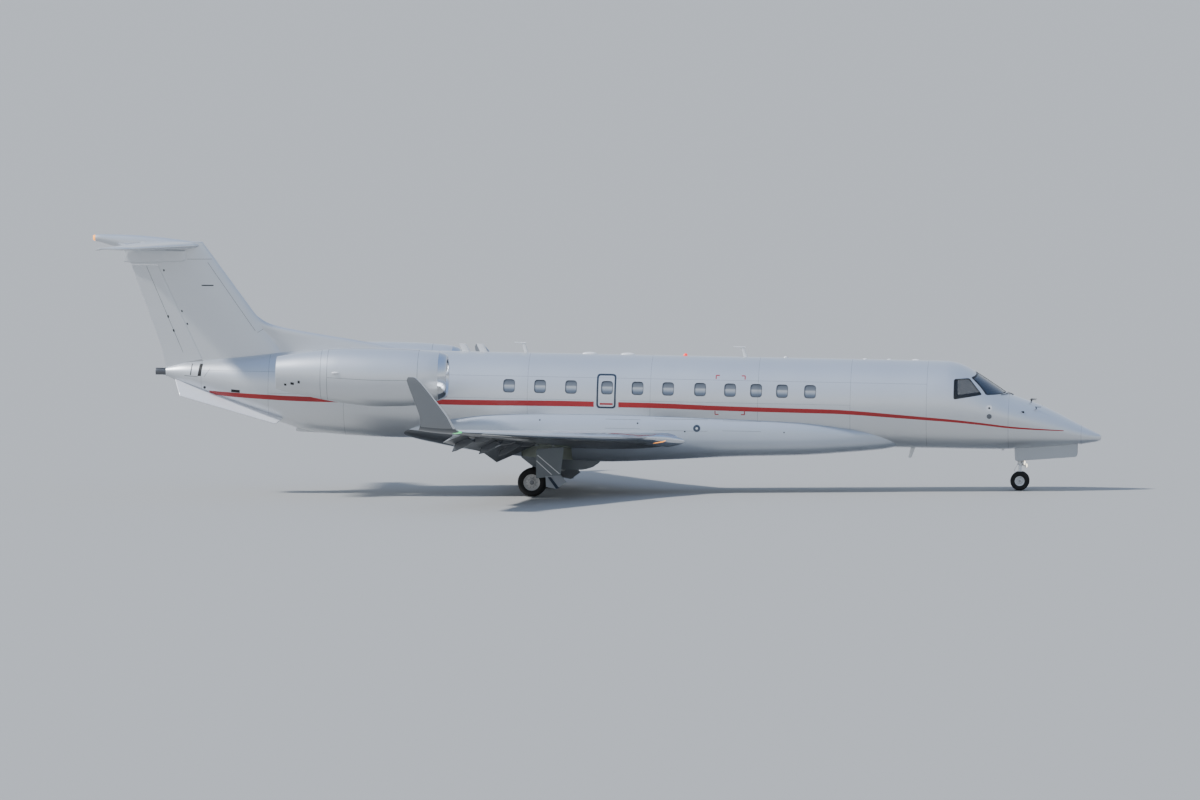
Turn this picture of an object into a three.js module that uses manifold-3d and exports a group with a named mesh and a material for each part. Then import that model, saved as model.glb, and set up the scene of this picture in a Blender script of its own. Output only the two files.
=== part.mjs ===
// A twin-engined business jet with a T-tail and winglets, standing on its gear.
// Millimetres. +X is the nose, +Y is port, +Z is up, and z = 0 is the ground.
// The airframe is drawn in stations: fs is millimetres aft of the nose tip, y is to port and
// wl is millimetres above the axis of the round fuselage tube. One group then sets it on its
// gear, nose slightly down, as it parks.
import * as THREE from 'three';
import { mergeVertices } from 'three/addons/utils/BufferGeometryUtils.js';
import Module from 'manifold-3d';

const wasm = await Module();
wasm.setup();

// Driving dimensions
const NOSE_X = 13148;            // nose tip ahead of the origin, along the fuselage datum
const AXIS_HEIGHT = 2461;        // tube axis above the ground, at x = 0
const PITCH = THREE.MathUtils.degToRad(1.4);   // nose down, as it stands
const CENTRE_SHIFT = 29.06;          // sets the middle of the whole length at x = 0
const TUBE = 1140;               // fuselage tube radius
const WALL = 70;                 // cabin wall, skin to lining
const GAP = 0.3;                 // between pieces that rest on each other
const RUNNING = 8;               // round surfaces that move
const LIP = 28;                  // fixed skin ahead of a control surface's hinge line
const BAR_SIDES = 12;            // bars, small pins and their holes
const SHAFT_SIDES = 18;          // shafts that wheels, fans and the steering turn on

// Where the fuselage is split, as stations
const RADOME_END = 520;
const FORWARD_END = 6500;
const CABIN_END = 14900;
const TAIL_END = 24460;

// Materials: colour, roughness, metalness
function finish(colour, roughness, metalness) {
  return new THREE.MeshStandardMaterial({ color: colour, roughness, metalness });
}
const SILVER = finish(0xc3c8cf, 0.35, 0.5);
const PALE = finish(0xdfe2e6, 0.4, 0.1);
const POLISHED = finish(0xd8dde4, 0.15, 1.0);
const GREY = finish(0x8d949c, 0.5, 0.2);
const DARK_STEEL = finish(0x4a4a4c, 0.45, 0.9);
const GEAR_WHITE = finish(0xd2d5d8, 0.4, 0.1);
const RUBBER = finish(0x1c1d1f, 0.85, 0.0);
const GLASS = finish(0x26323f, 0.08, 0.0);
const LINING = finish(0x6b6a66, 0.8, 0.0);
const LEATHER = finish(0x4b4038, 0.6, 0.0);
const TITANIUM = finish(0x77797c, 0.35, 0.9);

// A point given by station, side and waterline
function at(fs, y, wl) {
  return new THREE.Vector3(NOSE_X - fs, y, wl);
}

// Station and waterline of a point given on the ground frame
function fromGround(x, z) {
  const rise = z - AXIS_HEIGHT;
  const along = x * Math.cos(PITCH) - rise * Math.sin(PITCH);
  return { fs: NOSE_X - along, wl: x * Math.sin(PITCH) + rise * Math.cos(PITCH) };
}

// Solids
function solidOf(geometry) {
  const bare = geometry.clone();
  bare.deleteAttribute('normal');
  bare.deleteAttribute('uv');
  const merged = mergeVertices(bare, 1e-4);
  return new wasm.Manifold(new wasm.Mesh({
    numProp: 3,
    vertProperties: new Float32Array(merged.attributes.position.array),
    triVerts: new Uint32Array(merged.index.array),
  }));
}

function geometryOf(solid) {
  const mesh = solid.getMesh();
  const geometry = new THREE.BufferGeometry();
  geometry.setAttribute('position', new THREE.BufferAttribute(mesh.vertProperties, 3));
  geometry.setIndex(new THREE.BufferAttribute(mesh.triVerts, 1));
  geometry.computeVertexNormals();
  return geometry;
}

// The same solid on the other side of the aircraft
function mirrored(solid) {
  const geometry = geometryOf(solid);
  geometry.scale(1, -1, 1);
  const index = geometry.index.array;
  for (let i = 0; i < index.length; i += 3) {
    [index[i], index[i + 1]] = [index[i + 1], index[i]];
  }
  return solidOf(geometry);
}

// A skin through rings of points with equal counts; closed ends, or the last ring joins the first.
// The two halves of a ring are split the opposite way, so that a symmetric body stays symmetric.
function loft(rings, cyclic = false) {
  const count = rings[0].length;
  const points = [...rings.flat()];
  const faces = [];
  const last = cyclic ? rings.length : rings.length - 1;
  for (let r = 0; r < last; r += 1) {
    const a = r * count;
    const b = ((r + 1) % rings.length) * count;
    for (let k = 0; k < count; k += 1) {
      const n = (k + 1) % count;
      if (k < count / 2) faces.push(a + k, b + k, b + n, a + k, b + n, a + n);
      else faces.push(a + k, b + k, a + n, b + k, b + n, a + n);
    }
  }
  if (!cyclic) {
    for (const r of [0, rings.length - 1]) {
      const middle = new THREE.Vector3();
      rings[r].forEach((p) => middle.add(p));
      points.push(middle.divideScalar(count));
      for (let k = 0; k < count; k += 1) {
        const n = (k + 1) % count;
        const edge = r === 0 ? [k, n] : [r * count + n, r * count + k];
        faces.push(points.length - 1, edge[0], edge[1]);
      }
    }
  }
  const geometry = new THREE.BufferGeometry().setFromPoints(points);
  geometry.setIndex(faces);
  const solid = solidOf(geometry);
  if (solid.volume() > 0) return solid;
  geometry.setIndex(faces.reverse());
  return solidOf(geometry);
}

function box(from, to) {
  const size = new THREE.Vector3().subVectors(to, from);
  const sides = [Math.abs(size.x), Math.abs(size.y), Math.abs(size.z)];
  const middle = new THREE.Vector3().addVectors(from, to).multiplyScalar(0.5);
  return solidOf(new THREE.BoxGeometry(...sides).translate(middle.x, middle.y, middle.z));
}

// A round bar or cone from one point to another
function bar(from, to, radius, endRadius = radius, sides = BAR_SIDES) {
  const along = new THREE.Vector3().subVectors(to, from);
  const geometry = new THREE.CylinderGeometry(endRadius, radius, along.length(), sides);
  const turn = new THREE.Quaternion().setFromUnitVectors(
    new THREE.Vector3(0, 1, 0), along.clone().normalize());
  geometry.applyQuaternion(turn);
  const middle = new THREE.Vector3().addVectors(from, to).multiplyScalar(0.5);
  return solidOf(geometry.translate(middle.x, middle.y, middle.z));
}

// The hole that a faceted pin of this radius turns in
function pinHole(from, to, radius, sides = BAR_SIDES) {
  const wide = (radius + GAP) / Math.cos(Math.PI / sides);
  return bar(from, to, wide, wide, sides);
}

// A shaft and the hole that it turns in
function shaft(from, to, radius) {
  return bar(from, to, radius, radius, SHAFT_SIDES);
}
function shaftHole(from, to, radius) {
  return pinHole(from, to, radius, SHAFT_SIDES);
}

function rotor(profile, axis, centre, sides = 40) {
  const geometry = new THREE.LatheGeometry(profile.map(([r, h]) => new THREE.Vector2(r, h)), sides);
  const turn = new THREE.Quaternion().setFromUnitVectors(new THREE.Vector3(0, 1, 0), axis);
  geometry.applyQuaternion(turn);
  const solid = solidOf(geometry.translate(centre.x, centre.y, centre.z));
  if (solid.volume() > 0) return solid;
  geometry.index.array.reverse();
  return solidOf(geometry);
}

// A flat plate: an outline of [fs, wl] points between two values of y
function platePrism(outline, yFrom, yTo) {
  return loft([yFrom, yTo].map((y) => outline.map(([fs, wl]) => at(fs, y, wl))));
}

// A quadrilateral in plan or elevation, thickened both ways along its normal
function slab(corners, half) {
  const edge = new THREE.Vector3().subVectors(corners[1], corners[0]);
  const side = new THREE.Vector3().subVectors(corners[3], corners[0]);
  const normal = edge.cross(side).normalize().multiplyScalar(half);
  return loft([
    corners.map((p) => p.clone().sub(normal)),
    corners.map((p) => p.clone().add(normal)),
  ]);
}

function union(...solids) {
  return solids.reduce((sum, solid) => sum.add(solid));
}

// Fuselage sections: station, top, bottom, half width, waterline of the widest point
const HULL_POINTS = 32;
const HULL = [
  [0, -758, -806, 20, -782],
  [14, -728, -832, 52, -780],
  [60, -692, -868, 110, -780],
  [134, -658, -893, 178, -775],
  [330, -560, -930, 300, -750],
  [529, -465, -965, 392, -720],
  [790, -335, -998, 490, -670],
  [1056, -202, -1024, 580, -610],
  [1583, 40, -1068, 745, -490],
  [2108, 222, -1106, 880, -370],
  [2449, 343, -1126, 955, -290],
  [2640, 466, -1134, 992, -250],
  [3336, 905, -1140, 1085, -110],
  [3560, 1022, -1140, 1103, -70],
  [3780, 1100, -1140, 1118, -35],
  [4040, 1138, -1140, 1130, -12],
  [4400, 1140, -1140, 1140, 0],
  [18500, 1140, -1140, 1140, 0],
  [19500, 1125, -1112, 1120, 5],
  [20667, 1087, -1018, 1030, 40],
  [21392, 1025, -815, 905, 110],
  [22100, 945, -570, 755, 190],
  [22800, 860, -315, 590, 275],
  [23400, 786, -92, 440, 350],
  [23937, 715, 125, 300, 420],
  [TAIL_END, 575, 345, 120, 460],
];

function hullRing([fs, top, bottom, halfWidth, widest], grow) {
  return Array.from({ length: HULL_POINTS }, (_, k) => {
    const angle = (2 * Math.PI * k) / HULL_POINTS;
    const rise = Math.cos(angle) > 0 ? top - widest : widest - bottom;
    return at(fs, (halfWidth + grow) * Math.sin(angle), widest + (rise + grow) * Math.cos(angle));
  });
}

function hull(grow = 0, rows = HULL) {
  return loft(rows.map((row) => hullRing(row, grow)));
}

function stationSlice(from, to) {
  return box(at(from, -2000, -3000), at(to, 2000, 3000));
}

// Half width of the hull at a station and waterline
function hullSide(fs, wl) {
  const k = HULL.findIndex((row) => row[0] > fs);
  const [a, b] = [HULL[k - 1], HULL[k]];
  const t = (fs - a[0]) / (b[0] - a[0]);
  const [, top, bottom, halfWidth, widest] = a.map((value, i) => value + t * (b[i] - value));
  const rise = wl > widest ? top - widest : widest - bottom;
  return halfWidth * Math.sqrt(1 - ((wl - widest) / rise) ** 2);
}

const skin = hull();
const clearHull = hull(GAP);

// Cockpit and entry space
const COCKPIT_FROM = 2560;
const CABIN_WALL_END = 6400;
const LINING_STATIONS = [2449, 3336, 4040, 4400, 18500];
const FLOOR = -700;
const POST = 28;                 // half the centre post
const GLASS_SET = 5;             // glass below the skin
const GLASS_THICK = 24;

// Windscreen pane from ahead: [y, wl]
function windscreenOutline(inset) {
  return [
    [POST + inset, 368 + inset], [hullSide(2909, 300) - 8 - inset, 300 + inset],
    [hullSide(3301, 745) - inset, 745 - inset], [POST + inset, 892 - inset],
  ];
}
function windscreenPrism(inset) {
  const ring = (fs) => windscreenOutline(inset).map(([y, wl]) => at(fs, y, wl));
  return loft([ring(2300), ring(3460)]);
}

// Cockpit side window from the side: [fs, wl], corners cut
function sideWindowPrism(inset) {
  const outline = [
    [3130 + inset, 306 + inset], [3770 - inset, 188 + inset], [3822 - inset, 230 + inset],
    [3824 - inset, 650 - inset], [3776 - inset, 698 - inset], [3480 + inset, 727 - inset],
    [3425 + inset, 700 - inset], [3100 + inset, 350 + inset],
  ];
  return platePrism(outline, 300, 1400);
}

const glassLayer = hull(-GLASS_SET).subtract(hull(-GLASS_SET - GLASS_THICK));
const windscreen = glassLayer.intersect(windscreenPrism(GAP));
const sideWindow = glassLayer.intersect(sideWindowPrism(GAP));

// Entry door, port side, hinged along its sill: an airstair
const DOOR = { from: 4700, to: 5460, sill: -792, head: 820, gap: 6, sillGap: 15, thick: 60 };
const DOOR_AXIS_WL = DOOR.sill + 42;
const doorAxisY = Math.sqrt((TUBE - DOOR.thick / 2) ** 2 - DOOR_AXIS_WL ** 2);
const doorPin = 12;
const doorBand = skin.subtract(hull(-DOOR.thick));
const doorPanel = box(at(DOOR.from + DOOR.gap, 400, DOOR.sill),
  at(DOOR.to - DOOR.gap, 1300, DOOR.head - DOOR.gap));
const doorHole = box(at(DOOR.from, 400, DOOR.sill - DOOR.sillGap), at(DOOR.to, 1300, DOOR.head));
let entryDoor = doorBand.intersect(doorPanel);
const doorPins = [];
for (const [edge, inward] of [[DOOR.from, 1], [DOOR.to, -1]]) {
  const root = at(edge - inward * 30, doorAxisY, DOOR_AXIS_WL);
  const tip = at(edge + inward * 50, doorAxisY, DOOR_AXIS_WL);
  doorPins.push(bar(root, tip, doorPin));
  entryDoor = entryDoor.subtract(
    pinHole(root, at(edge + inward * 54, doorAxisY, DOOR_AXIS_WL), doorPin));
}

// Nose gear bay
const BAY = { from: 574, to: 2290, half: 205, roof: -620 };
const noseBay = box(at(BAY.from, -BAY.half, BAY.roof), at(BAY.to, BAY.half, -1400));

const liningRows = HULL.filter(([fs]) => LINING_STATIONS.includes(fs));
const cockpitSpace = hull(-WALL, liningRows).intersect(stationSlice(COCKPIT_FROM, CABIN_WALL_END));
const NOSE_PAD = { fs: 2620, root: -1100, face: -1172, radius: 60 };
const noseJackPad = bar(at(NOSE_PAD.fs, 0, NOSE_PAD.root), at(NOSE_PAD.fs, 0, NOSE_PAD.face),
  NOSE_PAD.radius);
let forwardFuselage = skin.intersect(stationSlice(RADOME_END + GAP, FORWARD_END - GAP))
  .subtract(cockpitSpace).subtract(noseBay).add(noseJackPad);
for (const side of [1, -1]) {
  for (const prism of [windscreenPrism(0), sideWindowPrism(0)]) {
    forwardFuselage = forwardFuselage.subtract(side > 0 ? prism : mirrored(prism));
  }
}
forwardFuselage = forwardFuselage.subtract(doorHole);
doorPins.forEach((pin) => { forwardFuselage = forwardFuselage.add(pin); });

const radome = skin.intersect(stationSlice(0, RADOME_END));
const cabinFuselage = skin.intersect(stationSlice(FORWARD_END, CABIN_END - GAP));
const rearFuselage = skin.intersect(stationSlice(CABIN_END, TAIL_END - GAP));

// Cockpit floor, instrument panel and seats
const innerHull = hull(-WALL - GAP, liningRows);
const DOOR_SWING = 715;          // the floor stops short of the door's lower edge, which swings in
const cockpitFloor = innerHull.intersect(
  box(at(COCKPIT_FROM + GAP, -1100, FLOOR - 40), at(CABIN_WALL_END - GAP, 1100, FLOOR)))
  .subtract(box(at(DOOR.from - 10, DOOR_SWING, FLOOR - 60), at(DOOR.to + 10, 1100, FLOOR + 60)))
  .add(box(at(3300, -130, FLOOR - 10), at(4050, 130, -210)));
const instrumentPanel = innerHull.intersect(union(
  box(at(2900, -900, -260), at(3010, 900, 215)),
  box(at(2700, -900, 150), at(3180, 900, 215)),
  box(at(2900, -140, FLOOR + GAP), at(3010, 140, -200))));
function pilotSeat(y) {
  const back = loft([
    [[4160, -330], [4270, -330]], [[4270, 250], [4370, 250]], [[4290, 420], [4360, 420]],
  ].map(([front, rear], i) => {
    const half = i === 2 ? 120 : 240;
    return [at(front[0], y - half, front[1]), at(front[0], y + half, front[1]),
      at(rear[0], y + half, rear[1]), at(rear[0], y - half, rear[1])];
  }));
  return union(
    box(at(3720, y - 245, -430), at(4200, y + 245, -300)), back,
    box(at(3850, y - 150, FLOOR + GAP), at(4100, y + 150, -420)));
}
const SEAT_Y = 430;

// Belly fairing: station, middle waterline, half width, rise, drop
const BELLY_POWER = 2.6;
const BELLY_POINTS = 28;
const BELLY = [
  [5050, -830, 420, 150, 230],
  [5700, -850, 760, 250, 345],
  [6500, -880, 1010, 420, 400],
  [7800, -900, 1150, 640, 488],
  [9500, -900, 1200, 700, 560],
  [11500, -900, 1230, 760, 690],
  [13000, -900, 1240, 780, 760],
  [14500, -900, 1235, 760, 712],
  [15900, -900, 1190, 690, 586],
  [16700, -890, 1100, 560, 490],
  [17400, -880, 950, 400, 372],
  [17900, -870, 760, 250, 280],
  [18350, -850, 520, 120, 170],
];
function bellyRing([fs, middle, halfWidth, rise, drop], grow) {
  return Array.from({ length: BELLY_POINTS }, (_, k) => {
    const angle = (2 * Math.PI * k) / BELLY_POINTS;
    const [s, c] = [Math.sin(angle), Math.cos(angle)];
    const bend = (value) => Math.sign(value) * Math.abs(value) ** (2 / BELLY_POWER);
    return at(fs, (halfWidth + grow) * bend(s), middle + ((c > 0 ? rise : drop) + grow) * bend(c));
  });
}
function belly(grow = 0) {
  return loft(BELLY.map((row) => bellyRing(row, grow)));
}
const clearBelly = belly(GAP);

// Lifting surfaces: a symmetrical section, thickest 30 % back, with a blunt trailing edge
const CHORD_STEPS = [1, 0.8, 0.58, 0.34, 0.16, 0.06, 0.015, 0];
const BLUNT = 3;                 // half the trailing edge thickness
function halfThickness(step) {
  return 5 * (0.2969 * Math.sqrt(step) - 0.126 * step - 0.3516 * step ** 2
    + 0.2843 * step ** 3 - 0.1036 * step ** 4);
}
const sectionLoop = [
  ...CHORD_STEPS.map((step) => [step, 1]),
  ...CHORD_STEPS.slice(0, -1).reverse().map((step) => [step, -1]),
];

// Rows: leading edge station, y and waterline, chord, thickness, incidence and cant in degrees
function liftingRing([fs, y, wl, chord, thick, incidence, cant]) {
  const tilt = THREE.MathUtils.degToRad(incidence);
  const lean = THREE.MathUtils.degToRad(cant);
  const aft = new THREE.Vector3(-1, 0, 0);
  const up = new THREE.Vector3(0, -Math.sin(lean), Math.cos(lean));
  const along = aft.clone().multiplyScalar(Math.cos(tilt)).addScaledVector(up, -Math.sin(tilt));
  const across = up.clone().multiplyScalar(Math.cos(tilt)).addScaledVector(aft, Math.sin(tilt));
  return sectionLoop.map(([step, face]) => {
    const height = Math.max(thick * halfThickness(step), BLUNT * (step > 0.5 ? 1 : 0));
    return at(fs, y, wl).addScaledVector(along, chord * step)
      .addScaledVector(across, face * height);
  });
}
function liftingBody(rows) {
  return loft(rows.map(liftingRing));
}

// A row a little larger all round, for the hole that a lifting body rests in
function grownRow([fs, y, wl, chord, thick, ...angles], k) {
  const inward = k === 0 ? 2 * GAP : 0;
  const wider = 2 * GAP + 2 * inward;
  return [fs - wider, y - inward, wl, chord + 2 * wider, thick + 2 * wider, ...angles];
}

// A point on a lifting surface's mean line, between two rows
function onChord(rows, y, step, value = 1) {
  const k = Math.max(1, rows.findIndex((row) => row[value] > y));
  const [a, b] = [rows[k - 1], rows[k]];
  const t = (y - a[value]) / (b[value] - a[value]);
  const [fs, yy, wl, chord, thick, incidence] = a.map((v, i) => v + t * (b[i] - v));
  const tilt = THREE.MathUtils.degToRad(incidence);
  return {
    point: at(fs + chord * step * Math.cos(tilt), yy, wl - chord * step * Math.sin(tilt)),
    half: thick * halfThickness(step),
  };
}

// Cut a control surface with a round nose out of a lifting body.
// a and b are the hinge line's ends, ra and rb the nose radii there, away is how far aft it runs.
// slack is the room at ends a and b, because a swept surface shifts along its span as it turns.
function splitSurface(body, a, b, ra, rb, away, half, slack = [RUNNING, RUNNING]) {
  const aft = new THREE.Vector3(-1, 0, 0);
  const span = new THREE.Vector3().subVectors(b, a).normalize();
  const aOut = a.clone().addScaledVector(span, -slack[0]);
  const bOut = b.clone().addScaledVector(span, slack[1]);
  const patch = (p, q, fore, rear) => slab([
    p.clone().addScaledVector(aft, -fore), q.clone().addScaledVector(aft, -fore),
    q.clone().addScaledVector(aft, rear), p.clone().addScaledVector(aft, rear)], half);
  const reach = 4 * Math.max(ra, rb);
  const long = (p, q, grow) => bar(p.clone().addScaledVector(span, -reach),
    q.clone().addScaledVector(span, reach), ra + grow, rb + grow);
  const moving = body.intersect(patch(a, b, 0, away))
    .add(long(a, b, 0).intersect(patch(a, b, reach, reach)));
  const fixed = body.subtract(patch(aOut, bOut, LIP, away))
    .subtract(long(a, b, RUNNING).intersect(patch(aOut, bOut, reach, reach)));
  return { fixed, moving, a, b, span };
}

// A hinge pin at one end of a split surface, fast in the fixed side
function pinAt(split, end, radius, into = 60, root = 40) {
  const point = end === 'a' ? split.a : split.b;
  const inward = split.span.clone().multiplyScalar(end === 'a' ? 1 : -1);
  const from = point.clone().addScaledVector(inward, -root);
  const to = point.clone().addScaledVector(inward, into);
  const deep = point.clone().addScaledVector(inward, into + 4);
  return {
    ...split,
    fixed: split.fixed.add(bar(from, to, radius)),
    moving: split.moving.subtract(pinHole(from, deep, radius)),
  };
}

// Wing, port side
const WING = [
  [10600, 1000, -980, 5080, 495, 2.2, 2.5],
  [10900, 1200, -968, 4800, 480, 2.2, 2.5],
  [11560, 1560, -950, 4170, 455, 2.2, 2.5],
  [12894, 3700, -857, 2960, 350, 1.4, 3],
  [14130, 6200, -722, 2200, 235, 0.2, 3.3],
  [15864, 9700, -510, 1130, 115, -1, 4],
];
const wingBody = liftingBody(WING);
const clearWing = liftingBody(WING.slice(0, 4).map(grownRow));
const bellyFairing = belly().subtract(clearHull).subtract(clearWing)
  .subtract(mirrored(clearWing));
const HINGE_STEP = 0.755;
const INBOARD_FLAP = [1420, 3610];
const OUTBOARD_FLAP = [3720, 7280];
const AILERON = [7380, 9350];
const FLAP_DROP = 170;           // flap hinge axis below the flap's nose
const FLAP_DOWN = 30;            // degrees, as it is parked

let wing = wingBody;
function wingSplit([yFrom, yTo], slack) {
  const from = onChord(WING, yFrom, HINGE_STEP);
  const to = onChord(WING, yTo, HINGE_STEP);
  return splitSurface(wing, from.point, to.point, from.half - 2, to.half - 2, 1800, 500, slack);
}

let aileron = wingSplit(AILERON, [RUNNING, 16]);
aileron = pinAt(pinAt(aileron, 'a', 10), 'b', 8);
wing = aileron.fixed;

// Flaps swing about an axis below the wing. Plates square to that axis carry them, one under
// the wing and one under the flap, side by side at a pin.
const TRACK = { thick: 62, seam: 3, fore: 620, aft: 430, eye: 44, pin: 16 };
const FLAP_SLACK = [58, RUNNING];
function flapAt(range, stations) {
  const split = wingSplit(range, FLAP_SLACK);
  const drop = new THREE.Vector3(0, 0, -FLAP_DROP);
  const [a, b] = [split.a.clone().add(drop), split.b.clone().add(drop)];
  let { fixed, moving } = split;
  for (const y of stations) {
    const t = (y - range[0]) / (range[1] - range[0]);
    const eye = new THREE.Vector3().lerpVectors(a, b, t);
    const rear = new THREE.Vector3(-1, 0, 0).projectOnPlane(split.span).normalize();
    const rise = new THREE.Vector3(0, 0, 1).projectOnPlane(split.span).projectOnPlane(rear)
      .normalize();
    const plate = (outline, from, to) => loft([from, to].map((side) => outline.map(
      ([u, v]) => eye.clone().addScaledVector(rear, u).addScaledVector(rise, v)
        .addScaledVector(split.span, side))));
    const ring = Array.from({ length: 5 }, (_, k) => {
      const angle = Math.PI * (k / 4 - 0.5);
      return [Math.cos(angle) * TRACK.eye, Math.sin(angle) * TRACK.eye];
    });
    const nose = onChord(WING, y, HINGE_STEP).half + 20;
    const fixedOutline = [
      [-TRACK.fore, FLAP_DROP + 10], [-TRACK.fore * 0.55, -15], ...ring,
      [-nose * 0.6, TRACK.eye], [-nose, FLAP_DROP],
    ];
    const movingOutline = [
      ...ring.map(([u, v]) => [-u, v]), [60, FLAP_DROP - 20], [TRACK.aft, FLAP_DROP - 5],
      [TRACK.aft + 190, 20], [TRACK.aft * 0.6, -40],
    ];
    const along = (distance) => eye.clone().addScaledVector(split.span, distance);
    fixed = fixed.add(plate(fixedOutline, -TRACK.thick, -TRACK.seam))
      .add(bar(along(-2 * TRACK.seam), along(TRACK.thick - 12), TRACK.pin));
    moving = moving.add(plate(movingOutline, TRACK.seam, TRACK.thick))
      .subtract(pinHole(eye, along(TRACK.thick - 8), TRACK.pin));
  }
  return { fixed, moving, a, b };
}
const inboardFlap = flapAt(INBOARD_FLAP, [2900]);
wing = inboardFlap.fixed;
const outboardFlap = flapAt(OUTBOARD_FLAP, [4500, 6500]);
wing = outboardFlap.fixed;

// Spoiler: a panel in the upper skin, hinged just behind its front edge
const SPOILER = {
  y: [3950, 7050], fore: 0.63, aft: 0.728, thick: 34, side: 6, front: 21, below: 14, pin: 6,
  above: 300,
};
const spoilerCorner = (y, step) => onChord(WING, y, step).point;
function spoilerPatch(grow) {
  const [y0, y1] = [SPOILER.y[0] - grow, SPOILER.y[1] + grow];
  const corners = [
    spoilerCorner(y0, SPOILER.fore), spoilerCorner(y1, SPOILER.fore),
    spoilerCorner(y1, SPOILER.aft), spoilerCorner(y0, SPOILER.aft)];
  const back = grow > 0 ? SPOILER.front : 0;
  corners[0].x += back;
  corners[1].x += back;
  corners[2].x -= grow;
  corners[3].x -= grow;
  corners.forEach((corner) => { corner.z += SPOILER.above; });
  return slab(corners, SPOILER.above);
}
const lowered = (solid, drop) => solid.translate([0, 0, -drop]);
let spoiler = wingBody.intersect(spoilerPatch(0)).subtract(lowered(wingBody, SPOILER.thick));
wing = wing.subtract(spoilerPatch(SPOILER.side)
  .subtract(lowered(wingBody, SPOILER.thick + SPOILER.below)));
const spoilerHinge = SPOILER.y.map((y) => {
  const { point, half } = onChord(WING, y, SPOILER.fore);
  return point.add(new THREE.Vector3(-9, 0, half - 22));
});
const spoilerSpan = new THREE.Vector3().subVectors(spoilerHinge[1], spoilerHinge[0]).normalize();
[[0, 1], [1, -1]].forEach(([end, way]) => {
  const point = spoilerHinge[end];
  const from = point.clone().addScaledVector(spoilerSpan, -way * 34);
  const to = point.clone().addScaledVector(spoilerSpan, way * 40);
  wing = wing.add(bar(from, to, SPOILER.pin));
  spoiler = spoiler.subtract(
    pinHole(from, to.clone().addScaledVector(spoilerSpan, way * 4), SPOILER.pin));
});

// Wing jacking pad, flat underneath
const PAD_Y = 2750;
const padSeat = onChord(WING, PAD_Y, 0.42);
const PAD_FACE = padSeat.point.z - padSeat.half - 26;
const wingJackPad = bar(new THREE.Vector3(padSeat.point.x, PAD_Y, PAD_FACE + 80),
  new THREE.Vector3(padSeat.point.x, PAD_Y, PAD_FACE), 55);
wing = wing.add(wingJackPad);

// Winglet, blended out of the wing tip
const WINGLET = [
  [15864, 9700.3, -510, 1130, 115, -1, 4],
  [15960, 9900, -478, 1010, 104, -1, 18],
  [16030, 10080, -395, 900, 90, -1, 42],
  [16105, 10200, -260, 800, 76, -1, 62],
  [16190, 10270, -100, 730, 66, -1, 72],
  [16914, 10548, 805, 320, 26, 0, 73],
];
const winglet = liftingBody(WINGLET);

// Tail fin: leading edge station, y, waterline, chord, thickness, incidence, cant
const FIN = [
  [21359, 0, 600, 3028, 300, 0, 90],
  [23442, 0, 3700, 2157, 215, 0, 90],
];
const DORSAL = [
  [17900, 0, 900, 4900, 190, 0, 90],
  [18250, 0, 1130, 4600, 165, 0, 90],
  [19373, 0, 1340, 3500, 150, 0, 90],
  [20162, 0, 1442, 2750, 145, 0, 90],
  [21347, 0, 1654, 1600, 140, 0, 90],
  [21700, 0, 1712, 1280, 136, 0, 90],
  [21970, 0, 1815, 1050, 130, 0, 90],
  [22330, 0, 2140, 760, 120, 0, 90],
];
const STABILISER_WL = 3765;
// Tailplane, port side
const TAILPLANE = [
  [23600, 0, STABILISER_WL, 2160, 220, 0, 0],
  [23690, 150, STABILISER_WL, 2085, 212, 0, 0],
  [25060, 3650, STABILISER_WL, 870, 88, 0, 0],
  [25140, 3740, STABILISER_WL, 770, 60, 0, 0],
  [25250, 3775, STABILISER_WL, 600, 30, 0, 0],
];
const halfTail = liftingBody(TAILPLANE);
const ELEVATOR = [190, 3560];
const ELEVATOR_STEP = 0.69;
const ELEVATOR_DROOP = 9;        // degrees, trailing edge down, as it is parked
const elevatorFrom = onChord(TAILPLANE, ELEVATOR[0], ELEVATOR_STEP);
const elevatorTo = onChord(TAILPLANE, ELEVATOR[1], ELEVATOR_STEP);
let elevator = splitSurface(halfTail, elevatorFrom.point, elevatorTo.point,
  elevatorFrom.half - 2, elevatorTo.half - 2, 1200, 300);
elevator = pinAt(elevator, 'b', 7, 50, 30);
elevator = pinAt(elevator, 'a', 12, 60, 40);
const tailplane = elevator.fixed.add(mirrored(elevator.fixed));
const clearTail = liftingBody(TAILPLANE.map(grownRow));

// Bullet fairing over the fin: station, top, bottom, half width
const BULLET = [
  [23560, 3820, 3770, 22],
  [23760, 3862, 3690, 75],
  [24015, 3895, 3640, 108],
  [24821, 3975, 3600, 125],
  [25345, 4006, 3615, 125],
  [25800, 4013, 3690, 112],
  [26216, 4014, 3800, 96],
  [26400, 3996, 3842, 78],
  [26430, 3980, 3862, 50],
];
const BULLET_POINTS = 18;
function bulletBody(grow) {
  return loft(BULLET.map(([fs, top, bottom, half]) => Array.from(
    { length: BULLET_POINTS }, (_, k) => {
      const angle = (2 * Math.PI * k) / BULLET_POINTS;
      return at(fs, (half + grow) * Math.sin(angle),
        (top + bottom) / 2 + ((top - bottom) / 2 + grow) * Math.cos(angle));
    })));
}
const bulletReach = union(box(at(23000, -300, STABILISER_WL), at(27000, 300, 4200)),
  box(at(25700, -300, 3500), at(27000, 300, 4200)));

// Pivot fairing at the fin's top: a blunt box that carries the tailplane
const CRADLE = [
  [23900, 60, 3430, 3640], [24080, 150, 3340, 3645], [24900, 168, 3310, 3650],
  [25480, 150, 3290, 3650], [25600, 120, 3300, 3650],
];
const cradle = loft(CRADLE.map(([fs, half, low, high]) => [
  at(fs, -half, high), at(fs, -half, low + 30), at(fs, -half + 30, low),
  at(fs, half - 30, low), at(fs, half, low + 30), at(fs, half, high)]));

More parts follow.
